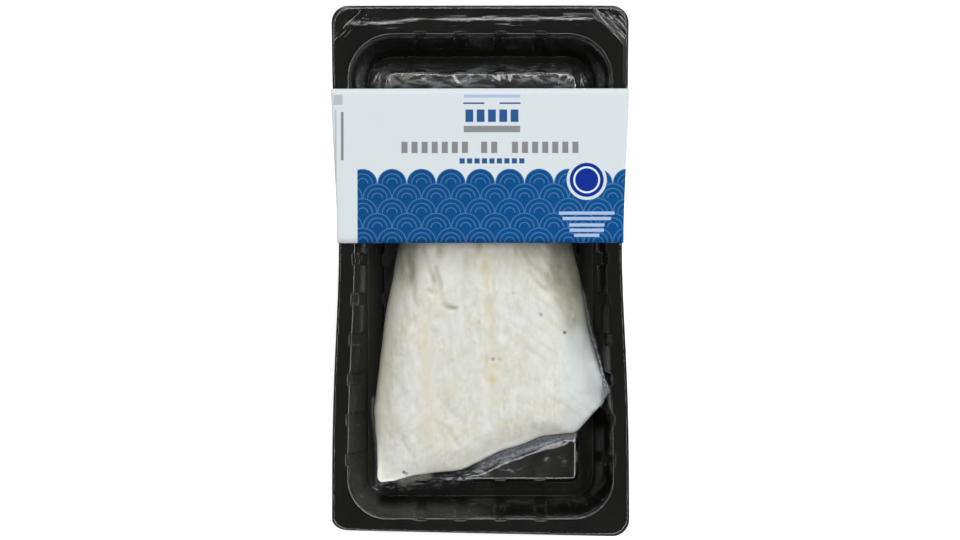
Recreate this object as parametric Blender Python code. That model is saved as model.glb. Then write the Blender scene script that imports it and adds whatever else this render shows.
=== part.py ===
"""Salt cod fillet in its sealed retail pack, in metres, +Z up.

The pack lies on its base: a thermoformed tray with fluted walls and a raised floor, one thick
fillet on that floor, a clear skin film drawn down over both, and a board sleeve round the middle.
+X is the pack's right and +Y its top end, seen from above.
"""

import math

import bmesh
import bpy

# Driving dimensions of the tray.
PACK_WIDTH = 0.148
PACK_LENGTH = 0.264
TRAY_HEIGHT = 0.032
TRAY_WALL = 0.0008
OUTER_CORNER = 0.0085
# The flange's outer edge turns down: inset and drop of its edge, its bend and its flat.
LIP_DROP = 0.0012
LIP_BEND = 0.0006
LIP_BEND_DROP = 0.0003
LIP_FLAT = 0.0021
# The low flange is cut askew, so that it is this much narrower at the left than at the right.
LOW_TRIM = 0.0030

# The tray's cavity, measured at the rim. The top end keeps a wide flange for the peel corner.
CAVITY_HALF = 0.0655
CAVITY_LOW = -0.12275
CAVITY_HIGH = 0.11725
CORNER_LOW = 0.0195
CORNER_HIGH = 0.022
FLOOR_Z = TRAY_WALL
PLATFORM_Z = 0.0065
# Inset from the cavity's edge and height of the tray's upper face, from the rim to the raised floor.
TRAY_PROFILE = (
    (-0.0012, TRAY_HEIGHT),
    (0.0, TRAY_HEIGHT - 0.0009),
    (0.0076, FLOOR_Z + 0.0024),
    (0.0098, FLOOR_Z),
    (0.0155, FLOOR_Z),
    (0.0168, PLATFORM_Z - 0.0008),
    (0.0177, PLATFORM_Z),
)
MOAT_END = 4
FLUTE_DEPTHS = (0.0006, 0.0012, 0.0012, 0.0005, 0.0, 0.0, 0.0)
SIDE_FLUTES = 10
END_FLUTES = 4
FLUTE_PITCH = 0.020
FLUTE_HALF = 0.0034
FLUTE_FLANK = 0.0011
CORNER_STEPS = 5

# The corner left low and unsealed so that the film can be gripped there.
PEEL_SIDE = 0.0205
PEEL_DROP = 0.0013

# The sleeve squeezes the rim in and lifts the tray off the ground by its own thickness. The tray's
# low end still rests on the ground, so the tray is tilted a little.
SLEEVE_LOW = 0.0139
SLEEVE_HIGH = 0.0905
SLEEVE_BOARD = 0.00045
PINCH = 0.0036
PINCH_Y = 0.014
PINCH_REACH_DOWN = 0.063
PINCH_REACH_UP = 0.058
GAP = 0.0003
SLEEVE_LIFT = SLEEVE_BOARD + GAP
LOW_END_REST = -0.120
# The squeeze grows over these distances from the middle and heights.
SQUEEZE_START = 0.050
SQUEEZE_FULL = 0.058
SQUEEZE_FOOT = 0.004
SQUEEZE_TOP = 0.026

# The skin film.
FILM_THICKNESS = 0.00035
FILM_MARGIN = 0.0006
FILM_GAP = 0.0004
FLESH_GAP = 0.0006
# The film doesn't follow the tight bends at the raised floor's edge and foot.
FILM_BRIDGE_EDGE = 0.0016
FILM_BRIDGE_FOOT = 0.0030

# The fillet, as its outline on the tray. Points run counter-clockwise from the thin end's right.
FILLET_CENTRE = (0.0, -0.010)
FILLET_OUTLINE = (
    (0.0285, 0.0790), (0.0200, 0.0850), (0.0060, 0.0875), (-0.0100, 0.0870), (-0.0240, 0.0840),
    (-0.0310, 0.0770), (-0.0350, 0.0600), (-0.0385, 0.0360), (-0.0412, 0.0130), (-0.0436, -0.0020),
    (-0.0472, -0.0175), (-0.0495, -0.0377), (-0.0520, -0.0560), (-0.0539, -0.0705), (-0.0523, -0.0860),
    (-0.0519, -0.0990), (-0.0521, -0.1048), (-0.0502, -0.1064), (-0.0422, -0.1052), (-0.0346, -0.1030),
    (-0.0205, -0.1012), (-0.0100, -0.1003), (-0.0004, -0.0960), (0.0102, -0.0902), (0.0187, -0.0880),
    (0.0298, -0.0837), (0.0400, -0.0820), (0.0478, -0.0813), (0.0512, -0.0780), (0.0585, -0.0698),
    (0.0619, -0.0664), (0.0627, -0.0635), (0.0627, -0.0562), (0.0603, -0.0462), (0.0570, -0.0365),
    (0.0538, -0.0250), (0.0520, -0.0140), (0.0495, -0.0010), (0.0464, 0.0122), (0.0425, 0.0300),
    (0.0385, 0.0480), (0.0345, 0.0630),
)
# Height of the flesh above the raised floor along the pack, as (y, height).
FILLET_CREST = (
    (-0.112, 0.0120),
    (-0.085, 0.0165),
    (-0.045, 0.0212),
    (0.000, 0.0232),
    (0.035, 0.0234),
    (0.070, 0.0190),
    (0.092, 0.0140),
)
EDGE_HEIGHT = 0.0085
SHOULDER = 0.021
SHOULDER_POWER = 2.3
# The thin flap on the right reaches up the tray's wall, and the low left corner tapers.
FLAP_START = 0.026
FLAP_END = 0.060
FLAP_DROP = 0.0042
APEX = (0.0627, -0.0600)
APEX_REACH = 0.024
APEX_RISE = 0.0094
TAPER_CORNER = (-0.053, -0.107)
TAPER_REACH = 0.040
TAPER_DROP = 0.0040
# The line of pin-bone marks down the middle, as (y, x), and the flake lines that meet on it.
BONE_LINE = ((-0.110, 0.0100), (-0.075, 0.0085), (-0.040, 0.0052), (-0.010, 0.0030), (0.090, -0.0020))
SPINE_LOW = -0.062
SPINE_HIGH = 0.058
BONE_GROOVE = 0.0009
BONE_GROOVE_HALF = 0.0030
FLAKE_PITCH = 0.0185
FLAKE_DEPTH = 0.0009
FLAKE_SLOPE = 0.62
FLAKE_BEND = 0.018
# Short crevices where a strip of flesh has lifted, as start, end, depth and half width.
CREVICES = (
    ((-0.0285, 0.0060), (-0.0210, -0.0100), 0.0012, 0.0030),
    ((-0.0215, -0.0120), (-0.0130, -0.0185), 0.0015, 0.0026),
    ((0.0300, 0.0060), (0.0420, -0.0110), 0.0008, 0.0030),
)
RELIEF_FADE = 0.86
FILLET_RINGS = 15
RING_BIAS = 1.35
# Rings under the flesh, as shares of the way out, and the flesh rings that the film follows.
UNDER_RINGS = (0.6, 0.955)
FILM_RINGS = (0, 1, 2, 3, 4, 6, 9, 14)

# How far the film's foot stands off the flesh, most along the slanting low edge on the right.
TENT = 0.0016
TENT_WIDE = 0.0058
TENT_CENTRE = math.radians(-72)
TENT_SPREAD = math.radians(30)
# Rays from the fillet's centre on which the fillet's and the film's loops are built.
RAY_STEP = math.radians(8.0)
RAY_LEAST = math.radians(1.25)
RING_LEAST = 0.0005
RAY_REACH = 0.3
RAY_HALVINGS = 36
PLATFORM_RAYS = 2
CAVITY_RAYS = 4
FLANGE_RAYS = 4

SHARP_ANGLE = math.radians(35)


def blend(low, high, value):
    """Smooth step from 0 at low to 1 at high."""
    t = min(max((value - low) / (high - low), 0.0), 1.0)
    return t * t * (3 - 2 * t)


def along(table, value):
    """Straight-line reading of a table of (position, result), held level past its ends."""
    if value <= table[0][0]:
        return table[0][1]
    for (p0, r0), (p1, r1) in zip(table, table[1:]):
        if value <= p1:
            return r0 + (r1 - r0) * (value - p0) / (p1 - p0)
    return table[-1][1]


# ---------------------------------------------------------------- shapes seen from above


def corner_of(x, y, half, low, high, r_low, r_high):
    """Arc centre and radius of the rounded rectangle's corner nearest to (x, y)."""
    radius = r_high if y > 0 else r_low
    centre_y = high - radius if y > 0 else low + radius
    return math.copysign(half - radius, x), centre_y, radius


def cavity_inset(x, y):
    """How far (x, y) lies inside the cavity's edge; negative on the flange."""
    cx, cy, radius = corner_of(x, y, CAVITY_HALF, CAVITY_LOW, CAVITY_HIGH, CORNER_LOW, CORNER_HIGH)
    out_x = abs(x) - abs(cx)
    out_y = (y - cy) * (1 if y > 0 else -1)
    if out_x > 0 and out_y > 0:
        return radius - math.hypot(out_x, out_y)
    return min(CAVITY_HALF - abs(x), CAVITY_HIGH - y, y - CAVITY_LOW)


def outer_inset(x, y):
    """How far (x, y) lies inside the flange's outer edge."""
    half = PACK_WIDTH / 2
    high = PACK_LENGTH / 2
    out_x = abs(x) - (half - OUTER_CORNER)
    out_y = abs(y) - (high - OUTER_CORNER)
    if out_x > 0 and out_y > 0:
        return OUTER_CORNER - math.hypot(out_x, out_y)
    return min(half - abs(x), high - abs(y))


def ray_to(inset_of, inset, angle):
    """Distance from the fillet's centre along a ray to where inset_of reaches that inset."""
    near, far = 0.0, RAY_REACH
    for _ in range(RAY_HALVINGS):
        middle = (near + far) / 2
        x = FILLET_CENTRE[0] + middle * math.cos(angle)
        y = FILLET_CENTRE[1] + middle * math.sin(angle)
        if inset_of(x, y) > inset:
            near = middle
        else:
            far = middle
    return near


def polar_outline():
    """The fillet's outline as (angle, radius) about its centre, in order of angle."""
    points = []
    for x, y in FILLET_OUTLINE:
        dx = x - FILLET_CENTRE[0]
        dy = y - FILLET_CENTRE[1]
        points.append((math.atan2(dy, dx), math.hypot(dx, dy)))
    return sorted(points)


OUTLINE_POLAR = polar_outline()


def fillet_radius(angle):
    """The outline's radius at an angle, as the straight line between two outline points."""
    angle = (angle + math.pi) % math.tau - math.pi
    table = OUTLINE_POLAR
    table = [(table[-1][0] - math.tau, table[-1][1])] + table + [(table[0][0] + math.tau, table[0][1])]
    for (a0, r0), (a1, r1) in zip(table, table[1:]):
        if a0 <= angle <= a1:
            span = r0 * math.sin(angle - a0) + r1 * math.sin(a1 - angle)
            return r0 * r1 * math.sin(a1 - a0) / span
    raise ValueError(angle)


def corner_angles(shape, steps):
    """Angles from the fillet's centre to points round the four corners of a rounded rectangle."""
    angles = []
    for sign_x in (-1, 1):
        for sign_y in (-1, 1):
            cx, cy, radius = corner_of(sign_x, sign_y, *shape)
            for step in range(steps + 1):
                turn = math.pi / 2 * step / steps
                x = cx + sign_x * radius * math.cos(turn)
                y = cy + sign_y * radius * math.sin(turn)
                angles.append(math.atan2(y - FILLET_CENTRE[1], x - FILLET_CENTRE[0]))
    return angles


def rays():
    """Angles through the tray's corners and the outline's points, with wide gaps filled."""
    inset = TRAY_PROFILE[-1][0]
    shapes = (
        (
            CAVITY_HALF - inset,
            CAVITY_LOW + inset,
            CAVITY_HIGH - inset,
            CORNER_LOW - inset,
            CORNER_HIGH - inset,
        ),
        (CAVITY_HALF, CAVITY_LOW, CAVITY_HIGH, CORNER_LOW, CORNER_HIGH),
        (PACK_WIDTH / 2, -PACK_LENGTH / 2, PACK_LENGTH / 2, OUTER_CORNER, OUTER_CORNER),
    )
    wanted = corner_angles(shapes[0], PLATFORM_RAYS) + [angle for angle, _ in OUTLINE_POLAR]
    wanted += corner_angles(shapes[1], CAVITY_RAYS) + corner_angles(shapes[2], FLANGE_RAYS)
    kept = []
    for angle in wanted:
        if all(abs(angle - other) >= RAY_LEAST for other in kept):
            kept.append(angle)
    kept.sort()
    filled = []
    for angle, following in zip(kept, kept[1:] + [kept[0] + math.tau]):
        parts = max(1, math.ceil((following - angle) / RAY_STEP))
        filled += [angle + (following - angle) * part / parts for part in range(parts)]
    return filled


# ---------------------------------------------------------------- heights


def offset_profile(profile, distance):
    """The profile moved off the tray by distance, each corner along its mitre."""
    moved = []
    for index, (inset, height) in enumerate(profile):
        normals = []
        for a, b in ((index - 1, index), (index, index + 1)):
            if a < 0 or b >= len(profile):
                continue
            run = profile[b][0] - profile[a][0]
            rise = profile[b][1] - profile[a][1]
            length = math.hypot(run, rise)
            normals.append((-rise / length, run / length))
        nx = sum(n[0] for n in normals) / len(normals)
        nz = sum(n[1] for n in normals) / len(normals)
        scale = distance / (nx * nx + nz * nz)
        moved.append((inset + nx * scale, height + nz * scale))
    return moved


def film_profile():
    """The film's lower face over the tray: down the wall and the moat, then over to the raised floor."""
    foot = TRAY_PROFILE[MOAT_END][0] - FILM_BRIDGE_FOOT
    edge = TRAY_PROFILE[-1][0] - FILM_BRIDGE_EDGE
    bridge = [(foot, FLOOR_Z + FILM_GAP), (edge, PLATFORM_Z + FILM_GAP)]
    return offset_profile(TRAY_PROFILE, FILM_GAP)[:MOAT_END] + bridge


FILM_PROFILE = film_profile()


def smooth_flesh(x, y, inward):
    """Height of the unbroken flesh at (x, y), which lies that far in from the outline."""
    crest = along(FILLET_CREST, y)
    crest -= FLAP_DROP * blend(FLAP_START, FLAP_END, x)
    to_corner = math.hypot(x - TAPER_CORNER[0], y - TAPER_CORNER[1])
    crest -= TAPER_DROP * (1 - blend(0.0, TAPER_REACH, to_corner))
    to_apex = math.hypot(x - APEX[0], y - APEX[1])
    edge = EDGE_HEIGHT + APEX_RISE * (1 - blend(0.0, APEX_REACH, to_apex))
    share = min(inward / SHOULDER, 1.0)
    dome = (1 - (1 - share) ** SHOULDER_POWER) ** (1 / SHOULDER_POWER)
    return PLATFORM_Z + GAP + edge + (crest - edge) * dome


def distance_to(x, y, start, end):
    """Distance from (x, y) to the straight piece from start to end."""
    dx, dy = end[0] - start[0], end[1] - start[1]
    share = ((x - start[0]) * dx + (y - start[1]) * dy) / (dx * dx + dy * dy)
    share = min(max(share, 0.0), 1.0)
    return math.hypot(x - start[0] - share * dx, y - start[1] - share * dy)


def flesh_relief(x, y, fraction):
    """What the bone line, the flake lines and the crevices take off the unbroken flesh."""
    off_line = x - along(BONE_LINE, y)
    cut = BONE_GROOVE * math.exp(-((off_line / BONE_GROOVE_HALF) ** 2))
    bent = math.sqrt(off_line * off_line + FLAKE_BEND * FLAKE_BEND) - FLAKE_BEND
    phase = (y + FLAKE_SLOPE * bent) / FLAKE_PITCH
    cut += FLAKE_DEPTH * (0.5 + 0.5 * math.cos(math.tau * phase)) ** 2
    for start, end, depth, half in CREVICES:
        cut += depth * math.exp(-((distance_to(x, y, start, end) / half) ** 2))
    return cut * (1 - blend(RELIEF_FADE, 1.0, fraction))


def flesh_floor(x, y):
    """Underside of the flesh: flat on the raised floor, and up the wall where the flap reaches it."""
    return max(PLATFORM_Z, along(TRAY_PROFILE, cavity_inset(x, y) - 2 * GAP)) + GAP


# ---------------------------------------------------------------- the sleeve's squeeze


def pinch(y):
    """How far the sleeve presses each side of the rim in."""
    reach = PINCH_REACH_DOWN if y < PINCH_Y else PINCH_REACH_UP
    return PINCH * math.exp(-(((y - PINCH_Y) / reach) ** 2))


def lift(y):
    """How far the tilted tray stands off the ground."""
    return SLEEVE_LIFT * (y - LOW_END_REST) / (SLEEVE_LOW - LOW_END_REST)


def trim(x, y):
    """How far in the askew cut of the low flange moves a point of it."""
    outward = min(max((CAVITY_LOW - y) / (PACK_LENGTH / 2 + CAVITY_LOW), 0.0), 1.0)
    reach = PACK_WIDTH / 2 - OUTER_CORNER
    leftward = min(max((reach - x) / (2 * reach), 0.0), 1.0)
    return LOW_TRIM * outward * leftward


def squeezed(x, y, z):
    """A point of the free tray, film or fillet moved to where the sleeve holds it."""
    at_wall = blend(SQUEEZE_START, SQUEEZE_FULL, abs(x)) * blend(SQUEEZE_FOOT, SQUEEZE_TOP, z)
    return x - math.copysign(pinch(y) * at_wall, x), y + trim(x, y), z + lift(y)


# ---------------------------------------------------------------- mesh helpers


def make_object(name, loops, material, closed_top=False, closed_bottom=False, squeeze=True):
    """A surface through loops of equal count, with a cap over the last and the first if asked."""
    mesh = bmesh.new()
    rings = []
    for loop in loops:
        rings.append([mesh.verts.new(squeezed(*p) if squeeze else p) for p in loop])
    for lower, upper in zip(rings, rings[1:]):
        for i in range(len(lower)):
            j = (i + 1) % len(lower)
            mesh.faces.new((lower[i], lower[j], upper[j], upper[i]))
    caps = []
    if closed_top:
        caps.append(mesh.faces.new(rings[-1]))
    if closed_bottom:
        caps.append(mesh.faces.new(rings[0]))
    bmesh.ops.triangulate(mesh, faces=caps)
    bmesh.ops.recalc_face_normals(mesh, faces=mesh.faces)
    data = bpy.data.meshes.new(name)
    mesh.to_mesh(data)
    mesh.free()
    data.materials.append(material)
    data.shade_smooth()
    data.set_sharp_from_angle(angle=SHARP_ANGLE)
    made = bpy.data.objects.new(name, data)
    bpy.context.scene.collection.objects.link(made)
    return made


def face_up(made):
    """Turns an open surface so that its normals point away from the base."""
    data = made.data
    flange = max(data.polygons, key=lambda face: face.center.z)
    if flange.normal.z < 0:
        data.flip_normals()


def thicken(made, thickness, side):
    """Gives an open surface its thickness; side is 1 along the normals and -1 against them."""
    solid = made.modifiers.new("wall", "SOLIDIFY")
    solid.thickness = thickness
    solid.offset = side
    solid.use_even_offset = True
    solid.use_rim = True


def make_material(name, colour, roughness, alpha=1.0):
    material = bpy.data.materials.new(name)
    material.use_nodes = True
    shader = material.node_tree.nodes["Principled BSDF"]
    shader.inputs["Base Color"].default_value = (*colour, 1.0)
    shader.inputs["Roughness"].default_value = roughness
    shader.inputs["Alpha"].default_value = alpha
    return material


# ---------------------------------------------------------------- tray


def flute_stations(centre, count):
    """Positions along a straight run, each with how far out the flute reaches there, 0 or 1."""
    stations = []
    for index in range(count):
        middle = centre + (index - (count - 1) / 2) * FLUTE_PITCH
        stations += [
            (middle - FLUTE_HALF, 0),
            (middle - FLUTE_HALF + FLUTE_FLANK, 1),
            (middle + FLUTE_HALF - FLUTE_FLANK, 1),
            (middle + FLUTE_HALF, 0),
        ]
    return stations


SIDE = flute_stations((CAVITY_LOW + CORNER_LOW + CAVITY_HIGH - CORNER_HIGH) / 2, SIDE_FLUTES)
END = flute_stations(0.0, END_FLUTES)


def ring(half, low, high, r_low, r_high, flute=0.0):
    """Points round a rounded rectangle, counter-clockwise from the low end of the right side."""
    points = [(half + flute * out, y) for y, out in SIDE]
    points += corner_arc(half, high, r_high, 1, 1)
    points += [(x, high + flute * out) for x, out in reversed(END)]
    points += corner_arc(half, high, r_high, -1, 1)
    points += [(-half - flute * out, y) for y, out in reversed(SIDE)]
    points += corner_arc(half, low, r_low, -1, -1)
    points += [(x, low - flute * out) for x, out in END]
    points += corner_arc(half, low, r_low, 1, -1)
    return points


def corner_arc(half, end, radius, sign_x, sign_y):
    """Points round one corner, in the ring's counter-clockwise order."""
    points = []
    for step in range(CORNER_STEPS + 1):
        turn = math.pi / 2 * step / CORNER_STEPS
        if sign_x != sign_y:
            turn = math.pi / 2 - turn
        x = sign_x * (half - radius + radius * math.cos(turn))
        y = end - sign_y * (radius - radius * math.sin(turn))
        points.append((x, y))
    return points


def cavity_ring(inset, flute):
    return ring(
        CAVITY_HALF - inset,
        CAVITY_LOW + inset,
        CAVITY_HIGH - inset,
        CORNER_LOW - inset,
        CORNER_HIGH - inset,
        flute,
    )


def flange_ring(inset):
    half = PACK_WIDTH / 2 - inset
    high = PACK_LENGTH / 2 - inset
    return ring(half, -high, high, OUTER_CORNER - inset, OUTER_CORNER - inset)


PEEL_POINTS = range(len(SIDE), len(SIDE) + CORNER_STEPS + 1)


def peel_cut(inset):
    """The flange's ring with its top right corner cut straight across."""
    half = PACK_WIDTH / 2 - inset
    high = PACK_LENGTH / 2 - inset
    cut = flange_ring(inset)
    for step, index in enumerate(PEEL_POINTS):
        share = step / CORNER_STEPS
        cut[index] = (half - PEEL_SIDE * share, high - PEEL_SIDE * (1 - share))
    return cut


def make_tray(material):
    """Flange, fluted walls, moat and raised floor, as one skin with its thickness below."""
    edge = flange_ring(0.0)
    drop = [PEEL_DROP if index in PEEL_POINTS else 0.0 for index in range(len(edge))]
    loops = [
        [(x, y, TRAY_HEIGHT - LIP_DROP - low) for (x, y), low in zip(edge, drop)],
        [(x, y, TRAY_HEIGHT - LIP_BEND_DROP - low) for (x, y), low in zip(peel_cut(LIP_BEND), drop)],
        [(x, y, TRAY_HEIGHT) for x, y in peel_cut(LIP_FLAT)],
    ]
    for (inset, height), flute in zip(TRAY_PROFILE, FLUTE_DEPTHS):
        loops.append([(x, y, height) for x, y in cavity_ring(inset, flute)])
    tray = make_object("tray", loops, material, closed_top=True)
    face_up(tray)
    thicken(tray, TRAY_WALL, -1)
    return tray


# ---------------------------------------------------------------- fillet and film


def polar_point(angle, radius):
    return FILLET_CENTRE[0] + radius * math.cos(angle), FILLET_CENTRE[1] + radius * math.sin(angle)


def ring_share(index, count):
    """Shares of the way out for the fillet's rings, closer together towards the shoulder."""
    return 1 - (1 - index / count) ** RING_BIAS


def flesh_point(angle, fraction):
    """Place on the flesh a share of the way out from the bone line to the outline, and how far in."""
    edge_x, edge_y = polar_point(angle, fillet_radius(angle))
    spine_y = min(max(edge_y, SPINE_LOW), SPINE_HIGH)
    spine_x = along(BONE_LINE, spine_y)
    x = spine_x + (edge_x - spine_x) * fraction
    y = spine_y + (edge_y - spine_y) * fraction
    return x, y, math.hypot(edge_x - x, edge_y - y)


def flesh_loop(angles, fraction, relief=True, gap=0.0):
    """One ring over the flesh, with its relief or as the unbroken surface the film lies on."""
    loop = []
    for angle in angles:
        x, y, inward = flesh_point(angle, fraction)
        z = smooth_flesh(x, y, inward) + gap
        if relief:
            z -= flesh_relief(x, y, fraction)
        loop.append((x, y, z))
    return loop


def floor_loop(angles, fraction):
    loop = []
    for angle in angles:
        x, y, _ = flesh_point(angle, fraction)
        loop.append((x, y, flesh_floor(x, y)))
    return loop


def make_fillet(angles, material):
    loops = [floor_loop(angles, fraction) for fraction in UNDER_RINGS]
    rim = []
    for angle in angles:
        x, y = polar_point(angle, fillet_radius(angle))
        rim.append((x, y, (flesh_floor(x, y) + smooth_flesh(x, y, 0.0)) / 2))
    loops.append(rim)
    for index in range(FILLET_RINGS):
        loops.append(flesh_loop(angles, ring_share(FILLET_RINGS - index, FILLET_RINGS + 1)))
    return make_object("fillet", loops, material, closed_top=True, closed_bottom=True)


def tent_width(angle):
    turn = (angle - TENT_CENTRE + math.pi) % math.tau - math.pi
    return TENT + (TENT_WIDE - TENT) * math.exp(-((turn / TENT_SPREAD) ** 2))


def film_ray(angle):
    """Points of the film outwards along one ray, from the flesh's shoulder to the flange's edge."""
    radius = fillet_radius(angle)
    x, y = polar_point(angle, radius + FILM_GAP)
    points = [(x, y, smooth_flesh(x, y, 0.0) + FLESH_GAP)]
    reached = radius + tent_width(angle)
    wall_top = ray_to(cavity_inset, FILM_PROFILE[1][0], angle)
    room = wall_top - RING_LEAST * len(FILM_PROFILE)
    reached = min(reached, max(room, radius + 2 * FILM_GAP))
    edge = ray_to(cavity_inset, FILM_PROFILE[-1][0], angle) - RING_LEAST
    if radius + 2 * FILM_GAP < edge:
        reached = min(reached, edge)
    targets = [reached]
    for inset, _ in FILM_PROFILE[:0:-1]:
        reached = max(ray_to(cavity_inset, inset, angle), reached + RING_LEAST)
        targets.append(reached)
    for distance in targets:
        x, y = polar_point(angle, distance)
        points.append((x, y, along(FILM_PROFILE, cavity_inset(x, y))))
    rim_z = TRAY_HEIGHT + FILM_GAP
    for inset_of, inset in ((cavity_inset, FILM_PROFILE[0][0]), (outer_inset, FILM_MARGIN)):
        points.append((*polar_point(angle, ray_to(inset_of, inset, angle)), rim_z))
    return points


def make_film(angles, material):
    """The clear skin over the fillet, down to the raised floor, the moat and up to the flange."""
    columns = [film_ray(angle) for angle in angles]
    loops = [[column[i] for column in columns] for i in reversed(range(len(columns[0])))]
    for index in FILM_RINGS:
        fraction = ring_share(FILLET_RINGS - index, FILLET_RINGS + 1)
        loops.append(flesh_loop(angles, fraction, relief=False, gap=FLESH_GAP))
    film = make_object("film", loops, material, closed_top=True)
    face_up(film)
    thicken(film, FILM_THICKNESS, 1)
    return film


# ---------------------------------------------------------------- sleeve

SLEEVE_TOP = TRAY_HEIGHT + FILM_GAP + FILM_THICKNESS + GAP
SLEEVE_CROWN = 0.0012
SLEEVE_SHOULDER = 0.0022
SLEEVE_FOLD = 0.0008
SLEEVE_BASE_HALF = 0.0608
SLEEVE_SECTIONS = 7
FOLD_STEPS = 4
CROWN_STEPS = 8


def fold(before, corner, after):
    """Points round one fold of the board."""
    points = []
    to_before = [(b - c) for b, c in zip(before, corner)]
    to_after = [(a - c) for a, c in zip(after, corner)]
    for leg in (to_before, to_after):
        length = math.hypot(*leg)
        leg[:] = [v / length * SLEEVE_FOLD for v in leg]
    for step in range(FOLD_STEPS + 1):
        t = step / FOLD_STEPS
        points.append(
            tuple(c + b * (1 - t) ** 2 + a * t**2 for c, b, a in zip(corner, to_before, to_after))
        )
    return points


def sleeve_section(y):
    """The board's inner face as a closed run in X and Z: crowned top, leaning sides, flat base."""
    top_half = PACK_WIDTH / 2 - pinch(y) + GAP
    top = SLEEVE_TOP + lift(y)
    right_top = (top_half, top)
    right_lip = (top_half, top - SLEEVE_SHOULDER)
    right_base = (SLEEVE_BASE_HALF, SLEEVE_BOARD)
    left_top = (-top_half, top)
    left_lip = (-top_half, top - SLEEVE_SHOULDER)
    left_base = (-SLEEVE_BASE_HALF, SLEEVE_BOARD)
    points = fold(left_lip, left_top, right_top)
    for step in range(1, CROWN_STEPS):
        across = -1 + 2 * step / CROWN_STEPS
        flat = top_half - SLEEVE_FOLD
        points.append((across * flat, top + SLEEVE_CROWN * (1 - across**2) ** 2))
    points += fold(left_top, right_top, right_lip)
    points.append(right_lip)
    points += fold(right_lip, right_base, left_base)
    points += fold(right_base, left_base, left_lip)
    points.append(left_lip)
    return [(x, y, z) for x, z in points]


def make_sleeve(material):
    loops = []
    for step in range(SLEEVE_SECTIONS):
        y = SLEEVE_LOW + (SLEEVE_HIGH - SLEEVE_LOW) * step / (SLEEVE_SECTIONS - 1)
        loops.append(sleeve_section(y))
    sleeve = make_object("sleeve", loops, material, squeeze=False)
    face_up(sleeve)
    thicken(sleeve, SLEEVE_BOARD, 1)
    return sleeve


def main():
    for old in list(bpy.data.objects):
        bpy.data.objects.remove(old)
    angles = rays()
    make_tray(make_material("black_tray", (0.012, 0.012, 0.010), 0.35))
    make_fillet(angles, make_material("cod_flesh", (0.78, 0.76, 0.68), 0.45))
    make_film(angles, make_material("clear_film", (0.90, 0.93, 0.95), 0.08, alpha=0.2))
    make_sleeve(make_material("printed_board", (0.74, 0.80, 0.84), 0.40))


main()
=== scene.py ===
"""Looks of a salt cod fillet in its sealed tray pack, seen from straight above.

Four pieces stand for the four solids of the frame: the glossy black tray, the fillet, the clear
skin film that is drawn over both, and the printed board sleeve. Lengths are in metres, apart from
those of the print, which are in millimetres. A span is a pair of places: blend() reads 0 at the
first and 1 at the second.
"""

import math
from contextlib import contextmanager
from functools import cache

import bmesh
import bpy
import numpy as np
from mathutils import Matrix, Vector
from mathutils.bvhtree import BVHTree


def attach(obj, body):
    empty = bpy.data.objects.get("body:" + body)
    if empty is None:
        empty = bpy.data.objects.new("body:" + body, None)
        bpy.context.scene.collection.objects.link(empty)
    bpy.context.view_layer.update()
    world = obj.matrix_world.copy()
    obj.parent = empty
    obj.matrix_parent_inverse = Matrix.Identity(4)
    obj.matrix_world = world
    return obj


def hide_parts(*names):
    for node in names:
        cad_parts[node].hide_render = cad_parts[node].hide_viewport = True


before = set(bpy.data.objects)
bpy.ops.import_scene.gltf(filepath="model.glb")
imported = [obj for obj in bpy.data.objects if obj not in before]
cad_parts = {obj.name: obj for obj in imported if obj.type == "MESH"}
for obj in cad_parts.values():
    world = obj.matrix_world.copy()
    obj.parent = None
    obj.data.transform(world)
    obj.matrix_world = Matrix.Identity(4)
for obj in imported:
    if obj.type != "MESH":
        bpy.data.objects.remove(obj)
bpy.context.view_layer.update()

# The tray, as in the CAD.
PACK_WIDTH = 0.148
PACK_LENGTH = 0.264
TRAY_HEIGHT = 0.032
TRAY_WALL = 0.0008
OUTER_CORNER = 0.0085
LIP_DROP = 0.0012
LOW_TRIM = 0.003
CAVITY_HALF = 0.0655
CAVITY_LOW = -0.12275
CAVITY_HIGH = 0.11725
CORNER_LOW = 0.0195
CORNER_HIGH = 0.022
FLOOR_Z = TRAY_WALL
PLATFORM_Z = 0.0065
GAP = 0.0003

# Half width, low end, high end and corner radii of the cavity's edge and of the flange's.
CAVITY_EDGE = (CAVITY_HALF, CAVITY_LOW, CAVITY_HIGH, CORNER_LOW, CORNER_HIGH)
FLANGE_EDGE = (PACK_WIDTH / 2, -PACK_LENGTH / 2, PACK_LENGTH / 2, OUTER_CORNER, OUTER_CORNER)

# The sleeve, and how it squeezes and tilts the tray.
SLEEVE_LOW = 0.0139
SLEEVE_HIGH = 0.0905
SLEEVE_BOARD = 0.00045
PINCH = 0.0036
PINCH_Y = 0.014
PINCH_REACH_DOWN = 0.063
PINCH_REACH_UP = 0.058
PINCHED_X = (0.05, 0.058)
PINCHED_Z = (0.004, 0.026)
SLEEVE_LIFT = SLEEVE_BOARD + GAP
LOW_END_REST = -0.12
CLEAR_OF_SLEEVE = (0.02, 0.012)

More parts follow.
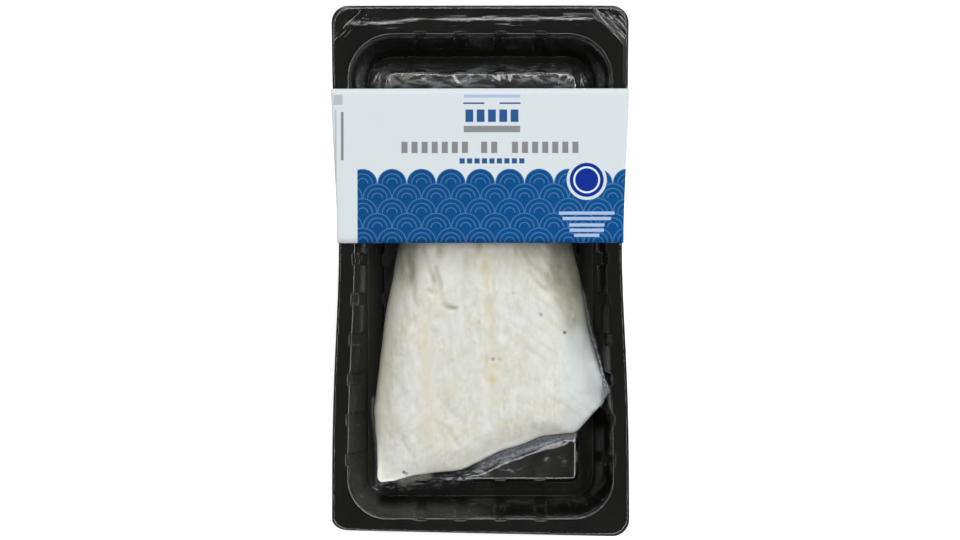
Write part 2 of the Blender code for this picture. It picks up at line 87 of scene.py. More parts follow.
# The fillet, as in the CAD.
FILLET_CENTRE = (0.0, -0.01)
FILLET_OUTLINE = (
    (0.0285, 0.079), (0.02, 0.085), (0.006, 0.0875), (-0.01, 0.087), (-0.024, 0.084),
    (-0.031, 0.077), (-0.035, 0.06), (-0.0385, 0.036), (-0.0412, 0.013), (-0.0436, -0.002),
    (-0.0472, -0.0175), (-0.0495, -0.0377), (-0.052, -0.056), (-0.0539, -0.0705), (-0.0523, -0.086),
    (-0.0519, -0.099), (-0.0521, -0.1048), (-0.0502, -0.1064), (-0.0422, -0.1052), (-0.0346, -0.103),
    (-0.0205, -0.1012), (-0.01, -0.1003), (-0.0004, -0.096), (0.0102, -0.0902), (0.0187, -0.088),
    (0.0298, -0.0837), (0.04, -0.082), (0.0478, -0.0813), (0.0512, -0.078), (0.0585, -0.0698),
    (0.0619, -0.0664), (0.0627, -0.0635), (0.0627, -0.0562), (0.0603, -0.0462), (0.057, -0.0365),
    (0.0538, -0.025), (0.052, -0.014), (0.0495, -0.001), (0.0464, 0.0122), (0.0425, 0.03),
    (0.0385, 0.048), (0.0345, 0.063),
)
FILLET_CREST = (
    (-0.112, 0.012), (-0.085, 0.0165), (-0.045, 0.0212), (0.0, 0.0232), (0.035, 0.0234),
    (0.07, 0.019), (0.092, 0.014),
)
CREST_SOFTENING = 0.016
EDGE_HEIGHT = 0.0085
SHOULDER = 0.021
SHOULDER_POWER = 2.3
FLAP_SPAN = (0.026, 0.06)
FLAP_DROP = 0.0042
APEX = (0.0627, -0.06)
APEX_REACH = 0.024
APEX_RISE = 0.0094
TAPER_CORNER = (-0.053, -0.107)
TAPER_REACH = 0.04
TAPER_DROP = 0.004
BONE_LINE = ((-0.11, 0.01), (-0.075, 0.0085), (-0.04, 0.0052), (-0.01, 0.003), (0.09, -0.002))
BONE_SOFTENING = 0.012
SPINE_LOW = -0.062
SPINE_HIGH = 0.058


# ------------------------- small helpers

LATTICE_SIZE = 64
LATTICES = 8
LATTICE = np.random.RandomState(11).rand(LATTICES, LATTICE_SIZE, LATTICE_SIZE)


def blend(low, high, value):
    """Smooth step from 0 at low to 1 at high."""
    t = np.clip((value - low) / (high - low), 0.0, 1.0)
    return t * t * (3 - 2 * t)


def bell(off, half):
    """From 1 where off is 0 down to nothing a few half widths away."""
    return np.exp(-((off / half) ** 2))


def along(table, value):
    """Straight-line reading of a table of (position, result), held level past its ends."""
    places, results = zip(*table)
    return np.interp(value, places, results)


def softened(table, value, reach):
    """The table's reading, averaged over a reach to each side so that it has no kinks."""
    shifts = np.linspace(-1, 1, 9)
    weights = np.exp(-2.0 * shifts**2)
    total = sum(w * along(table, value + s * reach) for w, s in zip(weights, shifts))
    return total / weights.sum()


def noise(x, y, scale, seed=0):
    """Smooth noise from -1 to 1 with features about scale wide."""
    u = np.asarray(x) / scale + 17.3 * seed
    v = np.asarray(y) / scale + 9.1 * seed
    i = np.floor(u).astype(int)
    j = np.floor(v).astype(int)
    fu = blend(0.0, 1.0, u - i)
    fv = blend(0.0, 1.0, v - j)
    grid = LATTICE[seed % LATTICES]
    i, right = i % LATTICE_SIZE, (i + 1) % LATTICE_SIZE
    j, above = j % LATTICE_SIZE, (j + 1) % LATTICE_SIZE
    low = grid[i, j] * (1 - fu) + grid[right, j] * fu
    high = grid[i, above] * (1 - fu) + grid[right, above] * fu
    return 2 * (low * (1 - fv) + high * fv) - 1


def uneven(place, scale, seed):
    """Smooth noise along one direction, from -1 to 1."""
    return noise(place, 0 * place, scale, seed)


def creases(x, y, scale, seed):
    """From 0 to 1 along thin winding ridges about scale apart."""
    return (1 - np.abs(noise(x, y, scale, seed))) ** 5


def spots(x, y, places):
    """From 0 to 1 at soft spots given as (x, y, half width, half height) and maybe a strength."""
    marks = np.zeros_like(x)
    for px, py, wide, tall, *strength in places:
        soft = np.exp(-(((x - px) / wide) ** 2) - ((y - py) / tall) ** 2)
        marks += soft * (strength[0] if strength else 1.0)
    return np.clip(marks, 0.0, 1.0)


def distance_to_run(x, y, run):
    """Distance from each place to the nearest straight piece of a run of points."""
    nearest = np.full_like(x, 1.0)
    for start, end in zip(run, run[1:]):
        dx, dy = end[0] - start[0], end[1] - start[1]
        share = np.clip(((x - start[0]) * dx + (y - start[1]) * dy) / (dx * dx + dy * dy), 0.0, 1.0)
        away = np.hypot(x - start[0] - share * dx, y - start[1] - share * dy)
        nearest = np.minimum(nearest, away)
    return nearest


def near_run(x, y, run, half):
    """From 1 on a run of points down to nothing a few half widths away."""
    return bell(distance_to_run(x, y, run), half)


def rounded_inset(x, y, half, low, high, radius_low, radius_high):
    """How far each place lies inside a rounded rectangle; negative outside it."""
    radius = np.where(y > 0, radius_high, radius_low)
    out_x = np.abs(x) - (half - radius)
    out_y = np.where(y > 0, y - (high - radius), low + radius - y)
    straight = np.minimum(half - np.abs(x), np.minimum(high - y, y - low))
    rounded = radius - np.hypot(out_x, out_y)
    return np.where((out_x > 0) & (out_y > 0), rounded, straight)


def pinch(y):
    """How far the sleeve presses each side of the rim in."""
    return PINCH * bell(y - PINCH_Y, np.where(y < PINCH_Y, PINCH_REACH_DOWN, PINCH_REACH_UP))


def lift(y):
    """How far the tilted tray stands off the ground."""
    return SLEEVE_LIFT * (y - LOW_END_REST) / (SLEEVE_LOW - LOW_END_REST)


def trim(x, y):
    """How far in the askew cut of the low flange moves a point of it."""
    outward = np.clip((CAVITY_LOW - y) / (PACK_LENGTH / 2 + CAVITY_LOW), 0.0, 1.0)
    reach = PACK_WIDTH / 2 - OUTER_CORNER
    return LOW_TRIM * outward * np.clip((reach - x) / (2 * reach), 0.0, 1.0)


def squeezed(points):
    """Points of the free tray or fillet moved to where the sleeve holds them."""
    x, y, z = points[..., 0], points[..., 1], points[..., 2]
    at_wall = blend(*PINCHED_X, np.abs(x)) * blend(*PINCHED_Z, z)
    moved = points.copy()
    moved[..., 0] = x - np.sign(x) * pinch(y) * at_wall
    moved[..., 1] = y + trim(x, y)
    moved[..., 2] = z + lift(y)
    return moved


def loops_to_faces(loops, count):
    """Quads between closed loops of equal count, listed one after another."""
    faces = []
    for j in range(loops - 1):
        for i in range(count):
            k = (i + 1) % count
            faces.append((j * count + i, j * count + k, (j + 1) * count + k, (j + 1) * count + i))
    return faces


@contextmanager
def edited(data):
    """The mesh opened for editing, and written back afterwards."""
    mesh = bmesh.new()
    mesh.from_mesh(data)
    yield mesh
    mesh.to_mesh(data)
    mesh.free()


def make_piece(name, loops, faces, material, node, sharp):
    """A mesh piece that stands for a CAD node, which it hides, and carries the given material."""
    data = bpy.data.meshes.new(name)
    data.from_pydata([tuple(p) for p in loops.reshape(-1, 3)], [], faces)
    with edited(data) as mesh:
        bmesh.ops.recalc_face_normals(mesh, faces=mesh.faces)
    data.shade_smooth()
    data.set_sharp_from_angle(angle=math.radians(sharp))
    data.materials.append(material)
    piece = bpy.data.objects.new(name, data)
    bpy.context.scene.collection.objects.link(piece)
    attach(piece, "root")
    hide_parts(node)
    return piece


def face_up(piece, above=0.0):
    """Turns an open surface so that what lies above a height faces up."""
    faces = [face for face in piece.data.polygons if face.center.z > above]
    if sum(face.normal.z * face.area for face in faces) < 0:
        piece.data.flip_normals()


def thicken(piece, name, thickness, side, even=True):
    """Gives a surface its thickness, on the side that it faces for 1 and behind it for -1."""
    solid = piece.modifiers.new(name, "SOLIDIFY")
    solid.thickness = thickness
    solid.offset = side
    solid.use_even_offset = even
    return solid


def add_attributes(piece, **named):
    """Stores numbers, one a point under each name, for the piece's material to read."""
    for name, values in named.items():
        layer = piece.data.attributes.new(name, "FLOAT", "POINT")
        layer.data.foreach_set("value", np.asarray(values, dtype=np.float32).ravel())


# ------------------------- shader graphs


class Graph:
    """The node tree of a material or of the world, built with short calls."""

    def __init__(self, holder):
        holder.use_nodes = True
        self.holder = holder
        self.tree = holder.node_tree
        self.tree.nodes.clear()

    def set(self, socket, value):
        if isinstance(value, bpy.types.NodeSocket):
            self.tree.links.new(value, socket)
        elif isinstance(value, tuple) and socket.type == "RGBA" and len(value) == 3:
            socket.default_value = (*value, 1.0)
        elif value is not None:
            socket.default_value = value

    def node(self, kind, inputs=None, **settings):
        made = self.tree.nodes.new("ShaderNode" + kind)
        for key, value in settings.items():
            setattr(made, key, value)
        for key, value in (inputs or {}).items():
            self.set(made.inputs[key], value)
        return made

    def math(self, operation, *values):
        return self.node("Math", dict(enumerate(values)), operation=operation).outputs[0]

    def times(self, a, b):
        return self.math("MULTIPLY", a, b)

    def line(self, value, factor, start):
        return self.math("MULTIPLY_ADD", value, factor, start)

    def most(self, a, b):
        return self.math("MAXIMUM", a, b)

    def ramp(self, value, low, high, to_low=0.0, to_high=1.0):
        made = self.node("MapRange", {"Value": value, "From Min": low, "From Max": high,
                                      "To Min": to_low, "To Max": to_high},
                         interpolation_type="SMOOTHSTEP")
        return made.outputs[0]

    def mix(self, factor, a, b):
        made = self.node("Mix", data_type="RGBA")
        for index, value in ((0, factor), (6, a), (7, b)):
            self.set(made.inputs[index], value)
        return made.outputs[2]

    def noise(self, vector, scale, detail=2.0, rough=0.5, distortion=0.0):
        made = self.node("TexNoise", {"Vector": vector, "Scale": scale, "Detail": detail,
                                      "Roughness": rough, "Distortion": distortion})
        return made.outputs[0]

    def stretched(self, vector, x, y, z):
        return self.node("Mapping", {"Vector": vector, "Scale": (x, y, z)}).outputs[0]

    def bump(self, height, strength, distance, normal=None):
        made = self.node("Bump", {"Height": height, "Strength": strength, "Distance": distance,
                                  "Normal": normal})
        return made.outputs[0]

    def distance(self, place, point):
        made = self.node("VectorMath", {0: place, 1: point}, operation="DISTANCE")
        return made.outputs["Value"]

    def attribute(self, name):
        return self.node("Attribute", attribute_name=name).outputs["Fac"]

    def place(self):
        return self.node("TexCoord").outputs["Object"]

    def finish(self, shader, output="OutputMaterial"):
        """Sends the shader to the output and returns the finished material or world."""
        self.node(output, {"Surface": shader.outputs[0]})
        return self.holder


# ------------------------- tray

# Inset, height and bend radius of the tray's upper face, from the flange in to the raised floor.
TRAY_BENDS = (
    (-0.003, TRAY_HEIGHT, 0.0),
    (-0.0003, TRAY_HEIGHT, 0.0008),
    (0.00825, FLOOR_Z, 0.0003),
    (0.0154, FLOOR_Z, 0.0003),
    (0.017, PLATFORM_Z, 0.0016),
    (0.019, PLATFORM_Z, 0.0),
)
PLATFORM_BEND = 4
LEAST_CORNER = 0.0004
# Beside the fish the raised floor's edge is sharp: its bend radius, and where that holds.
SHARP_BEND = 0.0002
SHARP_X = (0.04, 0.046)
SHARP_LOW = (-0.086, -0.076)
SHARP_HIGH = (0.094, 0.088)
# Inset and drop of the rim that is rolled down round the flange, from its lower edge.
RIM = ((0.0, LIP_DROP), (0.0, 0.0003), (0.00004, 0.00012), (0.00012, 0.00004), (0.0003, 0.0))
BEND_STEPS = 5
WALL_STEPS = 7
WALL_DROP = 0.01
FLANGE_STEPS = 26
CORNER_STEPS = 16

# The flutes of the walls, and places across one as shares of its half width and of half the pitch.
FLUTE_DEPTH = 0.0012
FLUTE_PITCH = 0.02
FLUTE_HALF = 0.0034
FLUTE_FLANK = 0.0011
FLUTE_TOP = (-0.003, -0.001)
FLUTE_FOOT = (0.0006, 0.005)
FLUTE_STATIONS = (-1.06, -0.94, -0.8, -0.68, -0.35, 0.0, 0.35, 0.68, 0.8, 0.94, 1.06)
BETWEEN_FLUTES = (-0.8, -0.55, 0.55, 0.8, 1.0)
SIDE_FLUTES = 10
END_FLUTES = 4
LEAST_STEP = 0.0002
CORNER_MARGIN = 0.0005

# The peel corner is pressed down past a line across it, and the left corner is tugged alike.
PEEL_SIDE = 0.0205
PEEL_LINE = PACK_WIDTH / 2 + PACK_LENGTH / 2 - PEEL_SIDE
PEEL_DROP = 0.0013
# The formed bead along the top flange: its left part is stepped down, and it dips once.
BEAD_Y = 0.1238
BEAD_HALF = 0.0015
BEAD_HEIGHT = 0.00034
BEAD_STEP = 0.0019
BEAD_STEP_X = (-0.026, -0.05)
BEAD_LEFT = (-0.069, -0.063)
BEAD_RIGHT = (0.052, 0.058)
BEAD_DIP_X = -0.026
BEAD_DIP_HALF = 0.0035
STREAK = 0.00009
STREAK_Y = (0.117, 0.119)

# Where the sheet's painted light, a lighter grey on its walls and raised floor, and its gloss change, as
# spans of x, y, height or inset.
WALL_Z = (0.0316, 0.029)
LEFT_WALL_X = (-0.05, -0.053)
RIGHT_WALL_X = (0.052, 0.0545)
RIGHT_WALL_Y = (-0.06, -0.046)
RIGHT_WALL_Z = (0.03, 0.014)
LOW_WALL_Y = (-0.108, -0.113)
LOW_WALL_X = (0.014, -0.012)
LOW_WALL_Z = (0.006, 0.024)
DULL_X = (0.052, 0.056)
DULL_Y = (-0.078, -0.06)
DULL_Z = (0.024, 0.029)
LIP_OUTER = (-0.0013, -0.0008)
LIP_INNER = (0.001, 0.0005)
WALL_TOP_INSET = (0.0008, 0.0016)
WALL_FOOT_INSET = (0.0084, 0.0076)

SHEET_DARK = (0.0047, 0.0047, 0.004)
SHEET_LIGHT = (0.008, 0.0079, 0.0064)
SHEET_PAINTED_LIGHT = (0.046, 0.046, 0.038)


def bent_profile(sharp=False):
    """The tray's profile as (inset, height) points with each bend rounded, or a sharp raised floor."""
    points = []
    for index, (inset, height, radius) in enumerate(TRAY_BENDS):
        if sharp and index == PLATFORM_BEND:
            radius = SHARP_BEND
        here = np.array((inset, height))
        if radius == 0.0:
            points.append(here)
            continue
        before = np.array(TRAY_BENDS[index - 1][:2]) - here
        after = np.array(TRAY_BENDS[index + 1][:2]) - here
        before /= np.hypot(*before)
        after /= np.hypot(*after)
        turn = math.pi - math.acos(float(np.clip(before @ after, -1, 1)))
        leg = radius * math.tan(turn / 2)
        for step in range(BEND_STEPS + 1):
            t = step / BEND_STEPS
            weight = (1 - t) ** 2, 2 * t * (1 - t) * math.cos(turn / 2), t * t
            total = sum(weight)
            points.append(here + (before * weight[0] + after * weight[2]) * leg / total)
    filled = [points[0]]
    for point in points[1:]:
        gap = point - filled[-1]
        if gap[1] < -WALL_DROP:
            for step in range(1, WALL_STEPS):
                filled.append(filled[-1] + gap / WALL_STEPS)
        filled.append(point)
    return filled


def run_stations(ends, count):
    """Positions along a straight run, dense at its flutes, and each one's reach into a flute."""
    centre = sum(ends) / 2
    middles = [centre + (index - (count - 1) / 2) * FLUTE_PITCH for index in range(count)]
    places = list(ends)
    for middle in middles:
        places += [middle + FLUTE_HALF * share for share in FLUTE_STATIONS]
        places += [middle + FLUTE_PITCH / 2 * share for share in BETWEEN_FLUTES]
    places = sorted(p for p in places if ends[0] <= p <= ends[1])
    kept = [places[0]]
    for place in places[1:]:
        if place - kept[-1] > LEAST_STEP:
            kept.append(place)
    nearest = [min(abs(place - middle) for middle in middles) for place in kept]
    return np.array(kept), 1 - blend(FLUTE_HALF - FLUTE_FLANK, FLUTE_HALF, np.array(nearest))


@cache
def straight_runs():
    """Stations up a side of the tray, and across an end of it."""
    side = (CAVITY_LOW + CORNER_LOW + CORNER_MARGIN, CAVITY_HIGH - CORNER_HIGH - CORNER_MARGIN)
    reach = CAVITY_HALF - CORNER_HIGH - CORNER_MARGIN
    return run_stations(side, SIDE_FLUTES), run_stations((-reach, reach), END_FLUTES)


def corner_arc(half, end, radius, sign_x, sign_y):
    """Points round one corner, in the ring's counter-clockwise order."""
    turn = np.linspace(0, math.pi / 2, CORNER_STEPS + 1)
    if sign_x != sign_y:
        turn = turn[::-1]
    x = sign_x * (half - radius + radius * np.cos(turn))
    y = end - sign_y * (radius - radius * np.sin(turn))
    return np.stack([x, y], axis=1)


def ring(edge, inset, flute=0.0):
    """Points round an edge's inset line, counter-clockwise from the low end of the right side."""
    half, low, high = edge[0] - inset, edge[1] + inset, edge[2] - inset
    r_low, r_high = (max(radius - inset, LEAST_CORNER) for radius in edge[3:])
    (side_y, side_out), (end_x, end_out) = straight_runs()
    right = np.stack([half + flute * side_out, side_y], axis=1)
    top = np.stack([end_x, high + flute * end_out], axis=1)[::-1]
    left = np.stack([-half - flute * side_out, side_y], axis=1)[::-1]
    bottom = np.stack([end_x, low - flute * end_out], axis=1)
    return np.concatenate([
        right,
        corner_arc(half, high, r_high, 1, 1),
        top,
        corner_arc(half, high, r_high, -1, 1),
        left,
        corner_arc(half, low, r_low, -1, -1),
        bottom,
        corner_arc(half, low, r_low, 1, -1),
    ])


def past_corner(x, y, side):
    """How far places lie past the line across the right (1) or left (-1) top corner."""
    return (side * x + y - PEEL_LINE) / math.sqrt(2)


def flange_relief(x, y, formed):
    """What the formed bead adds to the flange and the peel corner takes off it."""
    middle = BEAD_Y - BEAD_STEP * blend(*BEAD_STEP_X, x) + 0.0003 * uneven(x, 0.02, 2)
    ends = blend(*BEAD_LEFT, x) * (1 - blend(*BEAD_RIGHT, x))
    bead = BEAD_HEIGHT * bell(y - middle, BEAD_HALF) * ends
    bead *= 1 - 0.8 * bell(x - BEAD_DIP_X, BEAD_DIP_HALF)
    if not formed:
        return bead
    bead *= 0.8 + 0.5 * uneven(x, 0.0035, 1)
    streaks = STREAK * noise(x * 0.2, y * 1.6, 0.0022, 3) * blend(*STREAK_Y, y)
    past = past_corner(x, y, 1)
    level = past + 0.0009 * uneven(x - y, 0.0045, 5)
    crumple = 0.00016 * noise((x - y) * 0.22, past, 0.0012, 4) * blend(-0.0004, 0.0012, past)
    past = past_corner(x, y, -1)
    crumple += 0.00012 * noise((x + y) * 0.25, past, 0.0013, 6) * blend(-0.004, 0.001, past)
    return bead + streaks + crumple - PEEL_DROP * blend(-0.0002, 0.0009, level)


def tray_surface(formed=True):
    """The tray's upper face as an array of loops, outermost first, or without its finer forming."""

    def flange_loop(flat, drop):
        relief = flange_relief(flat[:, 0], flat[:, 1], formed)
        return np.column_stack([flat, TRAY_HEIGHT - drop + relief])

    def fluted(inset, height):
        depth = float(blend(*FLUTE_TOP, inset) * blend(*FLUTE_FOOT, height))
        return ring(CAVITY_EDGE, inset, (FLUTE_DEPTH if formed else 0.0) * depth)

    loops = [flange_loop(ring(FLANGE_EDGE, inset), drop) for inset, drop in RIM]
    profile = bent_profile()
    outer = ring(FLANGE_EDGE, RIM[-1][0])
    inner = fluted(*profile[0])
    for step in range(1, FLANGE_STEPS):
        loops.append(flange_loop(outer + (inner - outer) * step / FLANGE_STEPS, 0.0))
    for (inset, height), (sharp_inset, sharp_height) in zip(profile, bent_profile(True)):
        flat = fluted(inset, height)
        sharp = fluted(sharp_inset, sharp_height)
        beside = blend(*SHARP_X, np.abs(flat[:, 0])) * blend(*SHARP_LOW, flat[:, 1])
        beside = beside * blend(*SHARP_HIGH, flat[:, 1])
        flat = flat + (sharp - flat) * beside[:, None]
        loops.append(np.column_stack([flat, height + (sharp_height - height) * beside]))
    return squeezed(np.array(loops))


def tray_marks(surface):
    """The tray's painted light on its walls and raised floor, its gloss, and where its lip is, for each
    point of its upper face.
    """
    x, y = surface[..., 0], surface[..., 1]
    z = surface[..., 2] - lift(y)
    below_sleeve = blend(*CLEAR_OF_SLEEVE, y)
    on_wall = blend(*WALL_Z, z)
    # Painted light: lighter grey where light falls on the left, low and right walls, and a mottled lighter
    # grey on the raised floor.
    left = on_wall * blend(*LEFT_WALL_X, x) * (0.55 + 0.45 * blend(0.001, 0.003, z)) * below_sleeve
    low = on_wall * blend(*LOW_WALL_Z, z) * blend(*LOW_WALL_Y, y) * blend(*LOW_WALL_X, x)
    right = blend(*RIGHT_WALL_X, x) * blend(*RIGHT_WALL_Z, z) * blend(*RIGHT_WALL_Y, y)
    platform = blend(0.006, 0.0064, z) * blend(0.0072, 0.0068, z)
    platform = platform * (0.2 + 0.3 * noise(x, y, 0.006, 2))
    painted_light = np.maximum.reduce([left, 1.2 * low, 0.85 * right * below_sleeve, platform])
    dull = blend(*DULL_X, x) * blend(*DULL_Y, y) * blend(*DULL_Z, z) * below_sleeve
    profile = bent_profile()
    inset = np.full((len(surface), 1), -1.0)
    inset[-len(profile):, 0] = [point[0] for point in profile]
    lip = blend(*LIP_OUTER, inset) * blend(*LIP_INNER, inset)
    wall = blend(*WALL_TOP_INSET, inset) * blend(*WALL_FOOT_INSET, inset) * below_sleeve
    return {
        "painted_light": np.clip(painted_light, 0, 1.2),
        "gloss": (0.5 + 0.5 * lip - 0.32 * wall) * (1 - 0.75 * dull),
        "lip": lip * (1 - dull),
    }


def capped_faces(surface):
    """Quads between the tray's loops, and one face across the innermost of them."""
    rows, count = surface.shape[:2]
    return loops_to_faces(rows, count) + [tuple((rows - 1) * count + i for i in range(count))]


def make_tray(material, surface):
    tray = make_piece("tray_formed", surface, capped_faces(surface), material, "tray", 50)
    face_up(tray)
    thicken(tray, "sheet", TRAY_WALL, -1)
    add_attributes(tray, **tray_marks(surface))


def tray_material():
    graph = Graph(bpy.data.materials.new("black_formed_sheet"))
    place = graph.place()
    haze = graph.noise(graph.stretched(place, 1, 0.35, 1), 90, 3)
    grain = graph.noise(place, 2600, 1)
    wave = graph.noise(graph.stretched(place, 1, 0.5, 1), 45, 2)
    colour = graph.mix(haze, SHEET_DARK, SHEET_LIGHT)
    blur = graph.ramp(haze, 0.3, 0.7, 0.1, 0.15)
    return graph.finish(graph.node("BsdfPrincipled", {
        # Painted light: the walls and raised floor mixed towards a lighter grey.
        "Base Color": graph.mix(graph.attribute("painted_light"), colour, SHEET_PAINTED_LIGHT),
        "Roughness": graph.times(blur, graph.line(graph.attribute("lip"), -0.55, 1.0)),
        "IOR": 1.48,
        "Specular IOR Level": graph.attribute("gloss"),
        "Normal": graph.bump(wave, 0.2, 0.0008, graph.bump(grain, 0.08, 0.00004)),
    }))


# ------------------------- fillet

# Places along each side, round the low end and round the hidden end, and rings in to the bone line.
FILLET_STATIONS = (150, 230, 110)
FILLET_RINGS = 76
OUTLINE_STEP = 0.0005
OUTLINE_SOFTENING = 1.0
# Shares of the way out at which the underside's rings lie, and shares of the way up the cut side.
UNDER_SHARES = (0.1, 0.45, 0.8, 0.93)
SIDE_SHARES = (0.0, 0.08, 0.2, 0.36, 0.54, 0.72, 0.88)
UNDERCUT = 0.04
SIDE_HOLLOW = 0.0005

# Depths of the forms in the flesh.
GROOVE_DEPTH = 0.0004
GROOVE_HALF = 0.004
BONE_DEPTH = 0.00025
FLAKE_DEPTH = 0.00022
CREASE_DEPTH = 0.00022
RAISED_HEIGHT = 0.0006
FLAKE_PITCH = 0.0074
FLAKE_BEND = 0.01
FLAKE_SLOPE = 0.85
# Swellings of the flesh and its finer grain: depth, stretch along X and Y, size and seed.
SWELLS = ((0.0009, 1.3, 0.8, 0.022, 7), (0.0004, 1.6, 0.8, 0.0085, 1))
GRAIN = ((0.00024, 1.5, 0.9, 0.0046, 2), (0.00013, 1.7, 0.8, 0.0021, 4))

# Crevices between strips of flesh, each a run of points with its depth and half width.
CREVICES = (
    (((-0.029, 0.013), (-0.0262, 0.002), (-0.0238, -0.004), (-0.0214, -0.008)), 0.0007, 0.0016),
    (((-0.0225, 0.001), (-0.0212, -0.0045), (-0.0206, -0.0085)), 0.0013, 0.0012),
    (((-0.0264, -0.01), (-0.0232, -0.0108), (-0.0206, -0.0098)), 0.0009, 0.001),
    (((-0.0206, -0.0095), (-0.019, -0.015), (-0.0178, -0.0176)), 0.0006, 0.0012),
    (((-0.0186, -0.0172), (-0.0155, -0.0186), (-0.0128, -0.0184)), 0.0014, 0.001),
    (((-0.01, -0.015), (-0.009, -0.011), (-0.008, 0.001), (-0.0098, 0.012)), 0.0003, 0.0016),
    (((0.019, 0.013), (0.023, 0.005), (0.032, -0.004)), 0.0007, 0.0016),
    (((0.027, 0.013), (0.032, 0.006), (0.04, 0.0)), 0.0009, 0.0014),
    (((0.024, 0.0), (0.03, -0.008), (0.038, -0.012)), 0.0007, 0.0016),
    (((0.033, -0.008), (0.04, -0.015), (0.044, -0.023)), 0.0006, 0.0014),
    (((-0.037, 0.008), (-0.0345, -0.006), (-0.0325, -0.017)), 0.0006, 0.0018),
    (((-0.016, -0.023), (-0.015, -0.035), (-0.0165, -0.047)), 0.0003, 0.0012),
    (((-0.006, -0.022), (-0.0095, -0.033), (-0.01, -0.044)), 0.0003, 0.0012),
    (((-0.0215, -0.064), (-0.015, -0.07), (-0.008, -0.076)), 0.0004, 0.0014),
    (((-0.023, -0.075), (-0.016, -0.08), (-0.011, -0.087)), 0.0004, 0.0014),
    (((-0.042, -0.08), (-0.038, -0.088), (-0.033, -0.094)), 0.0004, 0.0014),
)
DEEPEST_CREVICE = 0.0014
# Strips of flesh that stand proud between the crevices: x, y, half width, half height.
RAISED = (
    (-0.0165, 0.0, 0.0052, 0.015), (-0.028, -0.012, 0.005, 0.01),
    (0.033, -0.016, 0.008, 0.006),
)
# Marks that the pin bones left, down the bone line: x, y, half width, half height, strength.
BONES = (
    (-0.0032, 0.048, 0.0018, 0.003, 0.6), (-0.0022, 0.03, 0.0018, 0.003, 0.6),
    (-0.001, 0.013, 0.0014, 0.005, 0.6), (0.0028, 0.002, 0.0019, 0.0046, 1.0),
    (0.0023, -0.0075, 0.0013, 0.0034, 0.45), (0.0046, -0.018, 0.0022, 0.0042, 0.9),
    (0.0058, -0.028, 0.0014, 0.0036, 0.55), (0.0056, -0.0395, 0.0015, 0.0032, 0.6),
    (0.0018, -0.043, 0.002, 0.0013, 0.35), (0.0118, -0.043, 0.0022, 0.0012, 0.35),
    (0.0062, -0.0475, 0.0012, 0.002, 0.6), (0.0058, -0.054, 0.0036, 0.0022, 1.0),
    (0.0078, -0.0645, 0.0022, 0.0034, 0.55), (0.0104, -0.077, 0.0022, 0.004, 0.45),
    (0.0112, -0.087, 0.0016, 0.003, 0.3),
)
# Soft patches on the flesh: x, y, half width, half height. Ochre is a stain; the brown, olive and whiter
# patches below also hold painted shadow, shade and sheen.
OCHRE = (
    (-0.0275, -0.03, 0.003, 0.012), (-0.027, -0.056, 0.0028, 0.015),
    (-0.0262, -0.08, 0.0034, 0.01), (-0.0158, -0.0576, 0.004, 0.005),
    (-0.016, -0.082, 0.004, 0.005), (-0.05, -0.05, 0.0035, 0.03),
    (-0.046, -0.005, 0.003, 0.015), (0.006, -0.048, 0.006, 0.002),
)
# Brown spots, and painted shadow along the raised strip's left border and under its lower end, in the same
# columns.
BROWN_AND_SHADOW = (
    (-0.0203, 0.01, 0.0018, 0.0045), (0.0175, 0.01, 0.0012, 0.003),
    (-0.0004, 0.012, 0.0014, 0.003), (-0.014, -0.0445, 0.0007, 0.001),
    (-0.0029, -0.0357, 0.0006, 0.0006), (-0.0054, -0.0292, 0.0007, 0.0005),
    (-0.0009, -0.0253, 0.0006, 0.001), (0.0164, -0.011, 0.0009, 0.0008),
    (0.003, -0.0445, 0.0006, 0.003), (-0.015, -0.0182, 0.003, 0.0007),
    (0.0095, -0.044, 0.0012, 0.0006), (-0.0232, -0.004, 0.0012, 0.0035),
)
# Patches of painted shade on the flanks near the sleeve, in the same columns.
OLIVE_SHADE = (
    (0.04, 0.01, 0.011, 0.013), (0.044, -0.008, 0.007, 0.014),
    (-0.036, 0.011, 0.008, 0.011), (0.027, 0.012, 0.009, 0.006),
    (0.036, -0.004, 0.004, 0.005), (-0.037, -0.002, 0.005, 0.008),
    (0.046, -0.026, 0.004, 0.008),
)
# Patches of whiter flesh with painted sheen and light, on the raised strip and at the low left corner
# among them, in the same columns.
WHITER_AND_SHEEN = (
    (-0.039, -0.093, 0.011, 0.0085), (-0.0165, 0.0, 0.004, 0.013),
    (0.015, -0.025, 0.01, 0.015), (-0.004, -0.092, 0.01, 0.005),
    (0.056, -0.06, 0.005, 0.008), (-0.03, -0.07, 0.006, 0.008),
)
# Dark specks: x, y and strength.
SPECKS = (
    (0.0301, -0.0217, 0.45), (0.0421, -0.0308, 0.8), (0.0062, -0.0439, 0.55),
    (-0.0386, -0.1012, 0.8), (-0.0372, -0.102, 0.7),
)
# Painted shade down the right flank: share, spans where it sets in and ends along Y, and the span
# inward over which it stops. The whole pack reads 1 in the unending span.
UNENDING = (1.0, 0.9)
RIGHT_FLANK_SHADE = (
    (0.5, (-0.03, 0.006), UNENDING, (0.008, 0.018)),
    (0.28, (-0.044, -0.016), (0.008, -0.008), (0.001, 0.009)),
    (0.16, (-0.074, -0.06), (-0.02, -0.03), (0.006, 0.018)),
)
# The strip of skin on the flap's edge, the low left corner, and where the low end's columns set in.
SKIN_Y = -0.061
SKIN_HALF = 0.0175
LOW_LEFT = (-0.04, -0.094)
LOW_END_COLUMNS = (25, 60)
WELD = 0.00001

